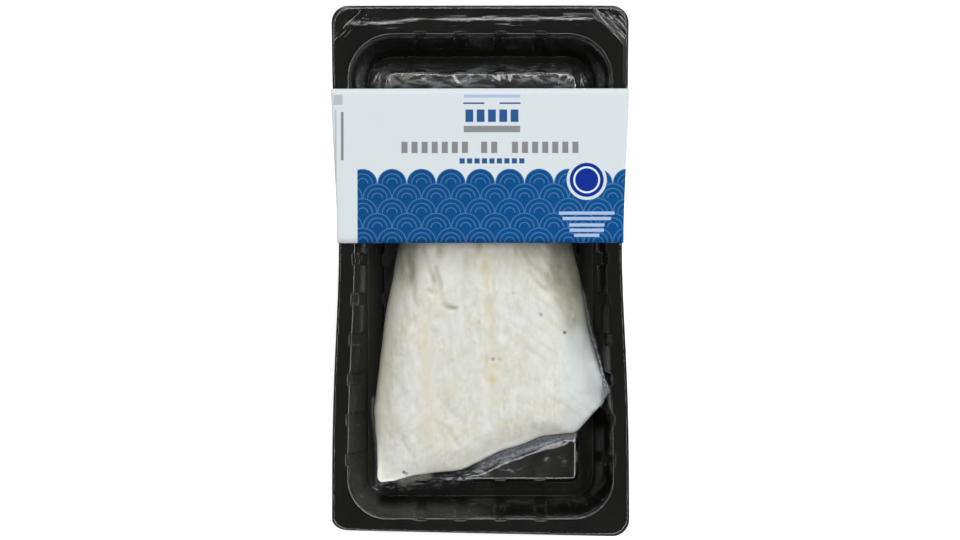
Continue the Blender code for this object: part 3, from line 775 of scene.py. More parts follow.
# Colours of the flesh, and its later stains as attribute, share and colour; the crevice stain is painted
# shade, and the brown one holds painted shadow too.
FLESH_DARK = (0.545, 0.53, 0.45)
FLESH_LIGHT = (0.64, 0.64, 0.588)
FLESH_PATCH = (0.628, 0.634, 0.6)
FLESH_FIBRE = (0.525, 0.51, 0.42)
SIDE_SHADE_TONE = (0.4, 0.395, 0.325)
BLUISH = (0.555, 0.61, 0.62)
STAINS = (
    ("ochre", 0.55, (0.58, 0.5, 0.34)),
    ("bones", 0.85, (0.6, 0.455, 0.2)),
    ("flakes", 0.22, (0.48, 0.455, 0.35)),
    ("cut", 0.6, (0.36, 0.32, 0.22)),
    ("brown_and_shadow", 0.8, (0.32, 0.27, 0.17)),
)


def soft_outline():
    """The fillet's outline every half millimetre, with soft corners and slightly uneven edges."""
    points = np.array(FILLET_OUTLINE)
    closed = np.vstack([points, points[:1]])
    lengths = np.r_[0, np.cumsum(np.hypot(*np.diff(closed, axis=0).T))]
    count = int(lengths[-1] / OUTLINE_STEP)
    stations = np.linspace(0, lengths[-1], count, endpoint=False)
    step = np.minimum(np.arange(count), count - np.arange(count)) * 0.5
    kernel = np.exp(-0.5 * (step / OUTLINE_SOFTENING) ** 2)
    spectrum = np.fft.fft(kernel / kernel.sum())
    x, y = (
        np.real(np.fft.ifft(np.fft.fft(np.interp(stations, lengths, closed[:, axis])) * spectrum))
        for axis in (0, 1)
    )
    turn = np.arctan2(y - FILLET_CENTRE[1], x - FILLET_CENTRE[0])
    wobble = 0.00035 * uneven(stations, 0.008, 3)
    wobble += 0.00018 * uneven(stations, 0.003, 4)
    wobble *= np.sin(math.pi * stations / lengths[-1]) ** 0.5
    return x + wobble * np.cos(turn), y + wobble * np.sin(turn)


class Stations:
    """Places round the outline, each with its own end on the bone line.

    Along the two sides they face each other across the bone line, and round the two ends they
    spread out from its ends, so that rings between outline and bone line close without a seam.
    """

    def __init__(self, side_rows, low_count, high_count):
        x, y = soft_outline()
        length = np.r_[0, np.cumsum(np.hypot(np.diff(x), np.diff(y)))]
        twice = np.r_[length, length + length[-1]]
        right = x > 0
        before = np.arange(len(y)) < np.argmin(y)
        first = {}
        for level in (SPINE_LOW, SPINE_HIGH):
            for side, part in (("left", ~right & before), ("right", right & ~before | right & (y > 0.03))):
                picked = np.where(part)[0]
                first[side, level] = picked[np.argmin(np.abs(y[picked] - level))]
        rows = np.linspace(SPINE_LOW, SPINE_HIGH, side_rows)
        sides = {}
        for side, sign in (("left", -1), ("right", 1)):
            near = (np.sign(x) == sign) & (np.abs(y) < 0.075)
            order = np.argsort(y[near])
            sides[side] = np.interp(rows, y[near][order], x[near][order])

        def span(start, stop, count):
            """Places round one end, spread evenly along the outline."""
            end = length[stop] + (length[-1] if stop < start else 0.0)
            wanted = np.linspace(length[start], end, count + 2)[1:-1]
            return np.interp(wanted, twice, np.r_[x, x]), np.interp(wanted, twice, np.r_[y, y])

        high_x, high_y = span(first["right", SPINE_HIGH], first["left", SPINE_HIGH], high_count)
        low_x, low_y = span(first["left", SPINE_LOW], first["right", SPINE_LOW], low_count)
        self.x = np.concatenate([sides["right"], high_x, sides["left"][::-1], low_x])
        self.y = np.concatenate([rows, high_y, rows[::-1], low_y])
        self.spine_y = np.clip(self.y, SPINE_LOW, SPINE_HIGH)
        self.spine_y[side_rows:side_rows + high_count] = SPINE_HIGH
        self.spine_y[2 * side_rows + high_count:] = SPINE_LOW
        self.spine_x = softened(BONE_LINE, self.spine_y, BONE_SOFTENING)
        self.count = len(self.x)
        out_x, out_y = self.x - FILLET_CENTRE[0], self.y - FILLET_CENTRE[1]
        self.angle = np.arctan2(out_y, out_x)
        self.radius = np.hypot(out_x, out_y)

    def at(self, fraction):
        """Places a share of the way out from the bone line, and how far in each is."""
        x = self.spine_x + (self.x - self.spine_x) * fraction
        y = self.spine_y + (self.y - self.spine_y) * fraction
        return x, y, np.hypot(self.x - x, self.y - y)


def smooth_flesh(x, y, inward):
    """Height of the unbroken flesh at (x, y), which lies that far in from the outline."""
    crest = softened(FILLET_CREST, y, CREST_SOFTENING)
    crest = crest - FLAP_DROP * blend(*FLAP_SPAN, x)
    to_corner = np.hypot(x - TAPER_CORNER[0], y - TAPER_CORNER[1])
    crest = crest - TAPER_DROP * (1 - blend(0.0, TAPER_REACH, to_corner))
    to_apex = np.hypot(x - APEX[0], y - APEX[1])
    edge = EDGE_HEIGHT + APEX_RISE * (1 - blend(0.0, APEX_REACH, to_apex))
    share = np.clip(inward / SHOULDER, 0.0, 1.0)
    dome = (1 - (1 - share) ** SHOULDER_POWER) ** (1 / SHOULDER_POWER)
    return PLATFORM_Z + GAP + edge + (crest - edge) * dome


def off_bone_line(x, y):
    """How far right of the bone line each place is."""
    return x - softened(BONE_LINE, y, BONE_SOFTENING)


def flake_lines(x, y):
    """From 0 to 1 along the chevrons where the flakes of flesh meet."""
    rise = FLAKE_SLOPE * (np.sqrt(off_bone_line(x, y) ** 2 + FLAKE_BEND * FLAKE_BEND) - FLAKE_BEND)
    phase = (y + rise + 0.0016 * noise(x, y, 0.02, 5)) / FLAKE_PITCH
    line = (0.5 + 0.5 * np.cos(math.tau * phase)) ** 4
    return line * blend(-0.3, 0.5, noise(x, y, 0.015, 6))


def crevice_marks(x, y):
    """Depth cut by the crevices."""
    x, y = x + 0.0007 * noise(x, y, 0.006, 1), y + 0.0007 * noise(x, y, 0.005, 2)
    cut = np.zeros_like(x)
    for run, depth, half in CREVICES:
        cut = np.maximum(cut, depth * near_run(x, y, run, half))
    return cut


def flesh_relief(x, y, inward, fine=True):
    """What bones, flakes, crevices and fibres take off the unbroken flesh."""
    off_line = off_bone_line(x, y)
    cut = GROOVE_DEPTH * bell(off_line, GROOVE_HALF) * (0.65 + 0.35 * noise(x, y, 0.01, 3))
    cut += BONE_DEPTH * spots(x, y, BONES)
    cut += FLAKE_DEPTH * flake_lines(x, y) * (0.35 + 0.65 * blend(0.008, 0.03, np.abs(off_line)))
    for depth, wide, tall, scale, seed in SWELLS:
        cut += depth * (0.5 + 0.5 * noise(x * wide, y * tall, scale, seed))
    cut -= RAISED_HEIGHT * spots(x, y, RAISED)
    if fine:
        cut += crevice_marks(x, y)
        for depth, wide, tall, scale, seed in GRAIN:
            cut += depth * noise(x * wide, y * tall, scale, seed)
        cut += CREASE_DEPTH * creases(x * 1.2 + 0.2 * y, y * 0.7, 0.0075, 5)
    else:
        cut += 0.6 * crevice_marks(x, y)
    return cut * blend(-0.002, 0.009, inward)


def cavity_inset(x, y):
    """How far each place lies inside the cavity's edge; negative on the flange."""
    return rounded_inset(x, y, *CAVITY_EDGE)


def tray_height(x, y):
    """Height of the free tray's upper face, from its inset at each place."""
    return along(bent_profile(), cavity_inset(x, y) - 2 * GAP)


def base_height(x, y):
    """Height at which the fillet's underside rests."""
    return np.maximum(PLATFORM_Z, tray_height(x, y)) + GAP


def flesh_top(stations, fraction, fine):
    """One ring over the flesh, squeezed as the sleeve holds it."""
    x, y, inward = stations.at(fraction)
    z = smooth_flesh(x, y, inward) - flesh_relief(x, y, inward, fine)
    return squeezed(np.column_stack([x, y, z]))


def ring_shares(count):
    """Shares of the way out, from 1 at the outline to 0 on the bone line, closer at the outline."""
    return 1 - np.linspace(0, 1, count) ** 1.35


def weld_spine(piece, height):
    """Joins the points that meet on the bone line, and drops the faces that this leaves empty."""
    with edited(piece.data) as mesh:
        high = [v for v in mesh.verts if v.co.z > height]
        bmesh.ops.remove_doubles(mesh, verts=high, dist=WELD)


def shading(x, y, inward):
    """Share of painted shade: the flesh darkened towards the sleeve, where its shadow falls, and down each
    flank.
    """
    middle = 1 - 0.27 * blend(-0.006, 0.012, y)
    right = 1
    for share, sets_in, ends, depth in RIGHT_FLANK_SHADE:
        right = right - share * blend(*sets_in, y) * blend(*ends, y) * (1 - blend(*depth, inward))
    low = 0.08 * blend(-0.094, -0.068, y)
    left = 1 - (low + 0.24 * blend(-0.01, 0.01, y)) * (1 - blend(0.008, 0.02, inward))
    on_left = blend(0.004, -0.012, x)
    return 1 - middle * (left * on_left + right * (1 - on_left))


def under_and_side(stations):
    """The fillet's rings from the middle of its underside up its rounded cut side."""
    loops = []
    for fraction in UNDER_SHARES:
        x, y, _ = stations.at(fraction)
        loops.append(squeezed(np.column_stack([x, y, base_height(x, y)])))
    floor = base_height(stations.x, stations.y)
    edge = smooth_flesh(stations.x, stations.y, np.zeros(stations.count))
    edge -= flesh_relief(stations.x, stations.y, np.zeros(stations.count))
    for t in SIDE_SHARES:
        x, y, _ = stations.at(1 - UNDERCUT * (1 - t) ** 2.2)
        base = np.maximum(floor * t + (PLATFORM_Z + GAP) * (1 - t), base_height(x, y))
        bulge = 0.0007 * uneven(stations.angle * 0.12, 0.004, 3)
        bulge = bulge + 0.0004 * noise(x + y, 0 * x + t * 0.004, 0.0016, 5)
        out = bulge * 4 * t * (1 - t) - SIDE_HOLLOW * 4 * t * (1 - t)
        x = x + out * np.cos(stations.angle)
        y = y + out * np.sin(stations.angle)
        loops.append(squeezed(np.column_stack([x, y, base + (edge - base) * t])))
    return loops


def fillet_marks(x, y, inward, column):
    """The fillet's stains, painted shade and painted light, one number a point, where column counts round
    the low end.
    """
    wander = 0.0012 * noise(x, y, 0.005, 2)
    around = np.exp(-(((y - SKIN_Y) / SKIN_HALF) ** 4)) * blend(0.0475, 0.0525, x - 0.2 * (y + 0.06))
    rag = 0.0009 * noise(x, y, 0.0022, 5)
    at_low_end = blend(*LOW_END_COLUMNS, column)
    # Painted light: the low end's edge lighter, where it catches the light.
    rim = at_low_end * (1 - blend(0.0, 0.005, inward)) * blend(0.05, 0.04, x)
    to_low_left = np.hypot(x - LOW_LEFT[0], y - LOW_LEFT[1])
    # Painted shade along the outline, where the dome slopes away: less at the low left corner, at the low
    # end and on the left.
    side = 1 - np.maximum(0.6 * blend(0.03, 0.012, to_low_left), 0.7 * at_low_end)
    return {
        "inward": inward,
        "bones": spots(x + wander, y + 0.5 * wander, BONES),
        "flakes": flake_lines(x, y),
        # Painted shade in the crevices.
        "cut": np.clip(crevice_marks(x, y) / DEEPEST_CREVICE, 0, 1),
        "ochre": spots(x + wander, y, OCHRE),
        "brown_and_shadow": spots(x + 0.4 * wander, y, BROWN_AND_SHADOW),
        "olive_shade": spots(x + wander, y - wander, OLIVE_SHADE),
        "whiter_and_sheen": spots(x + wander, y - wander, WHITER_AND_SHEEN),
        "shade": shading(x, y, inward),
        "skin": around * (1 - blend(0.0006, 0.002, inward + rag)),
        "rim": rim * (1 - 0.9 * bell(x + 0.02, 0.014)),
        "side": side * (1 - 0.35 * blend(0.0, -0.02, x)),
    }


def make_fillet(material):
    """The fillet: flat below, a rounded cut side and the domed top with its relief."""
    stations = Stations(*FILLET_STATIONS)
    loops = under_and_side(stations)
    inward = [np.zeros(stations.count)] * len(loops)
    for fraction in ring_shares(FILLET_RINGS):
        loops.append(flesh_top(stations, fraction, True))
        inward.append(stations.at(fraction)[2])
    loops = np.array(loops)
    faces = loops_to_faces(len(loops), stations.count)
    faces.append(tuple(range(stations.count)))
    fillet = make_piece("cod_fillet", loops, faces, material, "fillet", 70)
    with edited(fillet.data) as mesh:
        base = [face for face in mesh.faces if len(face.verts) > 4]
        bmesh.ops.triangulate(mesh, faces=base, ngon_method="BEAUTY")
    column = np.arange(stations.count) - 2 * FILLET_STATIONS[0] - FILLET_STATIONS[2]
    x, y = loops[..., 0].ravel(), loops[..., 1].ravel()
    marks = fillet_marks(x, y, np.concatenate(inward), np.tile(column, len(loops)))
    add_attributes(fillet, **marks)
    weld_spine(fillet, 0.018)


def fillet_material():
    graph = Graph(bpy.data.materials.new("cod_flesh"))
    place = graph.place()
    across = graph.stretched(place, 1, 0.55, 1)
    mottle = graph.noise(across, 260, 4, 0.7)
    patches = graph.noise(across, 60, 3, 0.6)
    fibre = graph.noise(graph.stretched(place, 1, 0.18, 1), 900, 3, 0.65)
    colour = graph.mix(graph.ramp(mottle, 0.36, 0.64), FLESH_DARK, FLESH_LIGHT)
    colour = graph.mix(graph.ramp(patches, 0.42, 0.6, 0.0, 0.5), colour, FLESH_PATCH)
    colour = graph.mix(graph.ramp(fibre, 0.48, 0.7, 0.0, 0.2), colour, FLESH_FIBRE)

    def stain(colour, name, share, tone):
        """The colour with a stain laid over it where an attribute says, broken up by the mottle."""
        broken = graph.times(graph.attribute(name), graph.ramp(mottle, 0.3, 0.62, 0.45, 1.0))
        return graph.mix(graph.times(broken, share), colour, tone)

    # Whiter flesh, partly painted sheen and light.
    colour = stain(colour, "whiter_and_sheen", 0.7, (0.665, 0.668, 0.635))
    # Painted shade: the flesh darkens towards its outline.
    edge = graph.ramp(graph.attribute("inward"), 0.0, 0.016, 1.0, 0.0)
    side = graph.times(edge, graph.attribute("side"))
    colour = graph.mix(graph.times(side, 0.8), colour, SIDE_SHADE_TONE)
    # Painted shade in olive patches by the sleeve.
    colour = stain(colour, "olive_shade", 0.95, (0.27, 0.27, 0.205))
    x, y, _ = graph.node("SeparateXYZ", {"Vector": place}).outputs
    bluish = graph.times(graph.ramp(x, 0.036, 0.05), graph.ramp(y, -0.022, -0.034))
    colour = graph.mix(graph.times(bluish, 0.7), colour, BLUISH)
    for name, share, tone in STAINS:
        colour = stain(colour, name, share, tone)
    flat = graph.stretched(place, 1, 1, 0)
    for speck_x, speck_y, strength in SPECKS:
        away = graph.distance(flat, (speck_x, speck_y, 0.0))
        colour = graph.mix(graph.ramp(away, 0.0005, 0.0013, strength, 0.0), colour, (0.06, 0.055, 0.045))
    # Painted light along the low end's edge.
    colour = graph.mix(graph.times(graph.attribute("rim"), 0.85), colour, (0.82, 0.82, 0.77))
    skin = graph.times(graph.attribute("skin"), graph.ramp(mottle, 0.35, 0.65, 0.5, 0.95))
    colour = graph.mix(skin, colour, (0.245, 0.255, 0.265))
    return graph.finish(graph.node("BsdfPrincipled", {
        # Painted shade: the flesh darkened towards the sleeve's shadow and down its flanks.
        "Base Color": graph.mix(graph.attribute("shade"), colour, (0.015, 0.014, 0.008)),
        "Roughness": graph.ramp(fibre, 0.3, 0.7, 0.5, 0.66),
        "IOR": 1.36,
        "Subsurface Weight": 0.12,
        "Subsurface Radius": (0.0024, 0.0021, 0.0016),
        "Subsurface Scale": 1.0,
        "Normal": graph.bump(mottle, 0.7, 0.0006, graph.bump(fibre, 0.5, 0.0002)),
    }))


# ------------------------- film

FILM_STATIONS = (104, 176, 96)
FILM_FLESH_RINGS = 34
FILM_LIFT = 0.0003
FILM_THICKNESS = 0.00012
FILM_MARGIN = 0.0007
# Insets that the film's loops follow on the tray, the number of loops up to each, and their spread.
FILM_KEYS = (
    (0.0184, 13, 1.5), (0.0166, 6, 1.0), (0.0152, 4, 1.0), (0.0094, 6, 1.0),
    (0.0066, 5, 1.0), (0.0006, 9, 1.0), (-0.0018, 7, 1.0),
)
FLANGE_LOOPS = 12
LEAST_LOOP = 0.00007
FARTHEST = 0.3
HALVINGS = 32
FLESH_GUESS = 0.02
PROBE = 0.00018
ROUNDS = 900
CLEARANCE = 0.00005

# Runs of points along which the film is loose or lit, and how slack it is at each x.
SLANTED_EDGE = ((0.002, -0.0985), (0.012, -0.0935), (0.03, -0.087), (0.05, -0.0835))
LOW_EDGE = ((-0.052, -0.1085), (-0.042, -0.1075), (-0.02, -0.1035), (0.002, -0.0985))
SLACK = (
    (0.0, 0.0022), (0.01, 0.0022), (0.018, 0.0019), (0.025, 0.0014), (0.032, 0.0009),
    (0.04, 0.0004), (0.046, 0.0),
)
# The line where the slanted band of film meets the raised floor, and the painted glints of the crumples
# below the fish.
BAND_FOOT = (
    (0.0095, -0.0985), (0.0176, -0.094), (0.0252, -0.0907), (0.033, -0.0883),
    (0.0405, -0.0855), (0.048, -0.0845),
)
LOW_DOTS = (
    (-0.0505, -0.1076), (-0.04, -0.108), (-0.033, -0.1066), (-0.025, -0.106),
    (-0.012, -0.1052), (-0.006, -0.1032), (0.002, -0.1008),
)
# Where the fish's lit cut side is painted onto the film below the fish's edge, and where painted glint
# lines run along the film at its flanks.
CUT_SIDE = ((-0.0395, -0.1062), (-0.034, -0.1046), (-0.027, -0.103))
RIGHT_EDGE = (
    (0.0501, -0.006), (0.0523, -0.014), (0.0541, -0.025), (0.0573, -0.0365), (0.0606, -0.0462),
)
LEFT_EDGE = (
    (-0.0541, -0.064), (-0.0545, -0.071), (-0.0528, -0.086), (-0.0524, -0.099), (-0.0526, -0.106),
)
# Small painted glints on the raised floor's film, standing for crumples: x, y, half width, half height.
FLOOR_MARKS = (
    (0.0418, -0.0958, 0.0012, 0.002), (0.0345, -0.0958, 0.0018, 0.0012),
    (0.0287, -0.1002, 0.0014, 0.0018), (0.015, -0.1004, 0.004, 0.0016),
    (0.0466, -0.1004, 0.0012, 0.0014),
)
# The film's small loose web off the flap, between three corners, and the dark wall beside it.
WEB = ((0.0616, -0.0457), (0.0656, -0.0598), (0.0606, -0.069))
BESIDE_FLAP = ((0.063, -0.052, 0.003, 0.018),)
TOP_CRUMPLES_Y = 0.0972
TOP_BRIDGE_Y = 0.099
BAND_END = (0.05, 0.047)

# Radii to which the film bends: where it clings, and what its hollows add along each line.
LEAST_BEND = 0.0007
WALL_FOOT_BEND = 0.0022
LOW_EDGE_BEND = 0.0012
TOP_BEND = 0.0016

# Pulls that streak the flange's seal: attribute, its direction in degrees and its strength.
PULLS = (("peel", 45, 0.55), ("tugged", -45, 0.22), ("drawn", 0, 0.12))
FILM_CLEAR = (0.985, 0.988, 0.99)
FILM_GLINT_TONE = (0.62, 0.66, 0.71)
FILM_WARM = (0.66, 0.63, 0.55)


def distance_out(stations, inset, edge):
    """Distance along each ray from the fillet's centre to an edge's inset line."""
    near = np.zeros(stations.count)
    far = np.full(stations.count, FARTHEST)
    for _ in range(HALVINGS):
        middle = (near + far) / 2
        x = FILLET_CENTRE[0] + middle * np.cos(stations.angle)
        y = FILLET_CENTRE[1] + middle * np.sin(stations.angle)
        inside = rounded_inset(x, y, *edge) > inset
        near = np.where(inside, middle, near)
        far = np.where(inside, far, middle)
    return near


def film_places(stations):
    """Plan positions of the film's loops, from the bone line out to the flange."""
    loops = []
    for fraction in ring_shares(FILM_FLESH_RINGS)[::-1]:
        x, y, _ = stations.at(fraction)
        loops.append(np.column_stack([x, y]))
    last = stations.radius
    targets = [(distance_out(stations, inset, CAVITY_EDGE), *rest) for inset, *rest in FILM_KEYS]
    targets.append((distance_out(stations, FILM_MARGIN, FLANGE_EDGE), FLANGE_LOOPS, 1.0))
    for target, count, spread in targets:
        target = np.maximum(target, last + LEAST_LOOP * count)
        for step in range(1, count + 1):
            distance = last + (target - last) * (step / count) ** spread
            loops.append(np.column_stack([
                FILLET_CENTRE[0] + distance * np.cos(stations.angle),
                FILLET_CENTRE[1] + distance * np.sin(stations.angle),
            ]))
        last = target
    return np.array(loops)


def surface_tree(loops, faces):
    """A surface that rays can be cast against."""
    return BVHTree.FromPolygons([tuple(p) for p in loops.reshape(-1, 3)], faces)


def heights_below(places, trees):
    """Height of the highest surface under each place, looking a little to each side as well."""
    rows, columns = places.shape[:2]
    found = np.full((rows, columns), -1.0)
    down = Vector((0, 0, -1))
    for dx, dy in ((0, 0), (PROBE, 0), (-PROBE, 0), (0, PROBE), (0, -PROBE)):
        for row in range(rows):
            for column in range(columns):
                origin = Vector((places[row, column, 0] + dx, places[row, column, 1] + dy, 0.1))
                for tree in trees:
                    hit = tree.ray_cast(origin, down)[0]
                    if hit is not None and hit.z > found[row, column]:
                        found[row, column] = hit.z
    return found


def stretch(places, ground, bend):
    """Film heights over the ground: drawn down on it, but bridging hollows with a given bend."""
    run = np.hypot(*np.moveaxis(np.diff(places, axis=0), 2, 0))
    before, after = run[:-1], run[1:]
    sag = before * after / (2 * bend[1:-1])
    z = ground.copy()
    for _ in range(ROUNDS):
        bridged = (after * z[:-2] + before * z[2:]) / (before + after) - sag
        z[1:-1] = np.maximum(ground[1:-1], bridged)
        across = (np.roll(z, 1, axis=1) + np.roll(z, -1, axis=1)) / 2
        free = z > ground + CLEARANCE
        z = np.where(free, np.maximum(ground, 0.7 * z + 0.3 * across), z)
    return z


def bend_map(x, y):
    """Radius to which the film bends in hollows: wide where it bridges from the flesh to the tray."""
    inset = cavity_inset(x, y)
    at_foot = blend(0.004, 0.006, inset) * (1 - blend(0.01, 0.012, inset))
    bend = LEAST_BEND + WALL_FOOT_BEND * at_foot
    bend += along(SLACK, x) * near_run(x, y, SLANTED_EDGE, 0.006)
    bend += LOW_EDGE_BEND * near_run(x, y, LOW_EDGE, 0.004)
    bend += TOP_BEND * bell(y - TOP_BRIDGE_Y, 0.005)
    return bend


def web_share(x, y):
    """From 0 to 1 in the web between the flap and the rim."""
    share = blend(0.06, 0.0612, x)
    for start, end in zip(WEB, WEB[1:]):
        dx, dy = end[0] - start[0], end[1] - start[1]
        inside = ((x - start[0]) * dy - (y - start[1]) * dx) / math.hypot(dx, dy)
        share = share * blend(0.0, 0.0007, inside)
    return share


def crumpled(x, y):
    """Where the film is loose at the top, the low edge and the flap, and where at the slanted edge."""
    ragged = y - TOP_CRUMPLES_Y + 0.0018 * uneven(x, 0.007, 4)
    top = bell(ragged, 0.0042) * blend(0.058, 0.05, np.abs(x))
    low = near_run(x, y, LOW_EDGE, 0.0028)
    slanted = near_run(x, y, SLANTED_EDGE, 0.004) * blend(*BAND_END, x)
    return np.clip(top + 0.8 * low + web_share(x, y), 0, 1), slanted


def wrinkles(x, y):
    """Height that folds add to the film where it is loose."""
    loose, slanted = crumpled(x, y)
    fold = loose * 0.0009 * creases(x + 0.4 * y, y - 0.3 * x, 0.007, 6)
    fold += loose * 0.0004 * creases(x - 0.3 * y, y + 0.5 * x, 0.0034, 3)
    off = distance_to_run(x, y, SLANTED_EDGE) - 0.0016 - 0.0004 * noise(x, y, 0.009, 2)
    return fold + slanted * blend(0.046, 0.042, x) * 0.0007 * bell(off, 0.0007)


def band_marks(x, y):
    """From 0 to 1 along the painted highlight stripes of the slanted band of film, which lie above its
    foot.
    """
    off = distance_to_run(x, y, BAND_FOOT) * np.sign(y - along(BAND_FOOT, x))
    off = off + 0.0004 * noise(x, y, 0.006, 1)
    stripe = bell(off - 0.001, 0.0011) + 0.55 * bell(off - 0.0046, 0.0012)
    body = blend(-0.0006, 0.001, off) * 0.42
    along_band = blend(0.007, 0.013, x) * blend(*BAND_END, x)
    return np.clip(stripe + body, 0, 1) * along_band * blend(0.009, 0.007, np.abs(off))


def dark_share(x, y, inset, loose, off_flesh):
    """From 0 to 1 where the film hardly mirrors: in the moat, beside the flap and round the lip."""
    limit = 0.008 * blend(-0.086, -0.078, y) * blend(0.09, 0.084, y)
    moat = blend(0.0004, 0.0022, inset) * (1 - blend(0.0155, 0.0164, inset - limit)) * off_flesh
    by_flap = spots(x, y, BESIDE_FLAP) * blend(0.0, 0.0008, inset)
    by_lip = blend(0.056, 0.059, x) * blend(-0.078, -0.062, y) * blend(*CLEAR_OF_SLEEVE, y)
    by_lip = by_lip * blend(-0.0022, -0.001, inset)
    all_lips = 0.75 * blend(-0.0022, -0.0012, inset)
    edges = np.maximum.reduce([by_flap, by_lip, all_lips])
    edges = edges * off_flesh * blend(0.0164, 0.0155, inset - limit)
    return np.maximum(moat, edges) * (1 - np.clip(loose, 0, 1))


def film_marks(x, y, clear, off_flesh):
    """The film's attributes, from 0 to 1 each, given how far it stands clear of what is below."""
    inset = cavity_inset(x, y)
    loose, slanted = crumpled(x, y)
    fringe = 0.0007 + 0.0004 * uneven(y, 0.004, 3)
    edge = near_run(x, y, LEFT_EDGE, 0.0007) + 0.9 * near_run(x, y, RIGHT_EDGE, fringe)
    bridging = blend(0.0003, 0.0025, clear) * slanted
    web = web_share(x, y)
    dots = near_run(x, y, LOW_DOTS, 0.0021) + 0.55 * spots(x, y, FLOOR_MARKS)
    # Masks of painted glints and highlights on the film; the one for the cut side paints the fish's lit
    # side onto it.
    return {
        "top": loose * (y > 0) * off_flesh,
        "free": np.clip(bridging + (0.8 * edge + web) * off_flesh, 0, 1),
        "stripe": band_marks(x, y) * off_flesh,
        "dots": np.clip(dots, 0, 1) * off_flesh,
        "glow": 0.44 * near_run(x, y, CUT_SIDE, 0.0022) * off_flesh,
        "hollow": dark_share(x, y, inset, slanted + loose, off_flesh),
        "wet": 1 - off_flesh,
        "web": web * off_flesh,
        "peel": blend(-0.0012, 0.0002, past_corner(x, y, 1)),
        "tugged": blend(-0.006, 0.0, past_corner(x, y, -1)),
        "drawn": blend(0.1165, 0.1185, y) * blend(0.0, -0.0006, inset),
    }


def make_film(material, tray_face):
    """The film, drawn down over the flesh and the tray, whose upper face is given."""
    stations = Stations(*FILM_STATIONS)
    flesh = np.array([flesh_top(stations, f, False) for f in ring_shares(2 * FILM_FLESH_RINGS)])
    trees = (
        surface_tree(tray_face, capped_faces(tray_face)),
        surface_tree(flesh, loops_to_faces(len(flesh), stations.count)),
    )
    free_places = film_places(stations)
    x, y = free_places[..., 0], free_places[..., 1]
    guess = tray_height(x, y)
    guess[:FILM_FLESH_RINGS] = FLESH_GUESS
    places = squeezed(np.dstack([free_places, guess]))[..., :2]
    ground = heights_below(places, trees) + FILM_LIFT
    ground[0] = flesh_top(stations, 0.0, False)[:, 2] + FILM_LIFT
    off_flesh = np.ones(x.shape)
    off_flesh[:FILM_FLESH_RINGS] = 0.0
    z = stretch(places, ground, bend_map(x, y)) + wrinkles(x, y) * off_flesh
    faces = loops_to_faces(len(places), stations.count)
    film = make_piece("skin_film", np.dstack([places, z]), faces, material, "film", 80)
    add_attributes(film, **film_marks(x, y, z - ground, off_flesh))
    weld_spine(film, 0.025)
    face_up(film)
    thicken(film, "skin", FILM_THICKNESS, 1, even=False)


def film_material():
    graph = Graph(bpy.data.materials.new("clear_skin_film"))
    place = graph.place()
    ripple = graph.noise(graph.stretched(place, 1, 0.6, 1), 120, 3)
    crease = graph.noise(place, 300, 2, 0.6, 0.6)
    broken = graph.noise(place, 620, 2, 0.6, 0.3)
    beads = graph.noise(graph.stretched(place, 0.6, 1, 1), 430, 1, 0.5, 0.4)
    fold = graph.noise(graph.stretched(place, 0.45, 1, 1), 230, 3, 0.6, 0.8)
    free = graph.attribute("free")
    wet = graph.attribute("wet")
    normal = graph.bump(ripple, 0.16, 0.0008)
    for name, turn, strength in PULLS:
        turned = graph.node("Mapping", {"Vector": place, "Rotation": (0.0, 0.0, math.radians(turn))})
        streak = graph.noise(graph.stretched(turned.outputs[0], 0.14, 1, 0), 620, 2)
        strong = graph.times(graph.attribute(name), strength)
        normal = graph.bump(graph.ramp(streak, 0.46, 0.74), strong, 0.00035, normal)
    normal = graph.bump(crease, graph.line(free, 0.35, 0.04), 0.0004, normal)
    normal = graph.bump(broken, graph.times(free, 0.45), 0.0006, normal)
    mirror = graph.node("BsdfAnisotropic", {
        "Color": (1.0, 1.0, 1.0),
        "Roughness": graph.line(wet, 0.22, 0.085),
        "Normal": normal,
    })
    clear = graph.node("BsdfTransparent", {"Color": FILM_CLEAR})
    facing = graph.node("LayerWeight", {"Blend": 0.5, "Normal": normal}).outputs["Facing"]
    mirrored = graph.line(graph.math("POWER", facing, 5.0), 0.6, 0.045)
    mirrored = graph.times(mirrored, graph.line(wet, -0.8, 1.0))
    mirrored = graph.times(mirrored, graph.line(graph.attribute("hollow"), -0.98, 1.0))
    gloss = graph.node("MixShader", {0: mirrored, 1: clear.outputs[0], 2: mirror.outputs[0]})
    # Painted highlights: a whitish diffuse layer stands for the film's glints, warm in the top crumples
    # and where it paints the lit side of the fish's cut.
    warm = graph.times(graph.attribute("top"), graph.ramp(ripple, 0.45, 0.55))
    warm = graph.most(warm, graph.ramp(graph.attribute("glow"), 0.05, 0.25))
    painted_glints = graph.node("BsdfDiffuse", {"Color": graph.mix(warm, FILM_GLINT_TONE, FILM_WARM)})
    # Where the film carries painted glints: an attribute, the pattern that breaks it up, and that
    # pattern's ramp.
    share = None
    for name, pattern, *ramp in (
        ("free", broken, 0.4, 0.66, 0.11, 0.36),
        ("web", broken, 0.36, 0.62, 0.08, 0.55),
        ("stripe", broken, 0.34, 0.62, 0.12, 0.34),
        ("dots", beads, 0.5, 0.66, 0.02, 0.34),
        ("glow", broken, 0.34, 0.6, 0.55, 1.0),
        ("top", fold, 0.44, 0.64, 0.03, 0.26),
    ):
        part = graph.times(graph.attribute(name), graph.ramp(pattern, *ramp))
        share = part if share is None else graph.most(share, part)
    return graph.finish(graph.node("MixShader", {0: share, 1: gloss.outputs[0], 2: painted_glints.outputs[0]}))


# ------------------------- sleeve

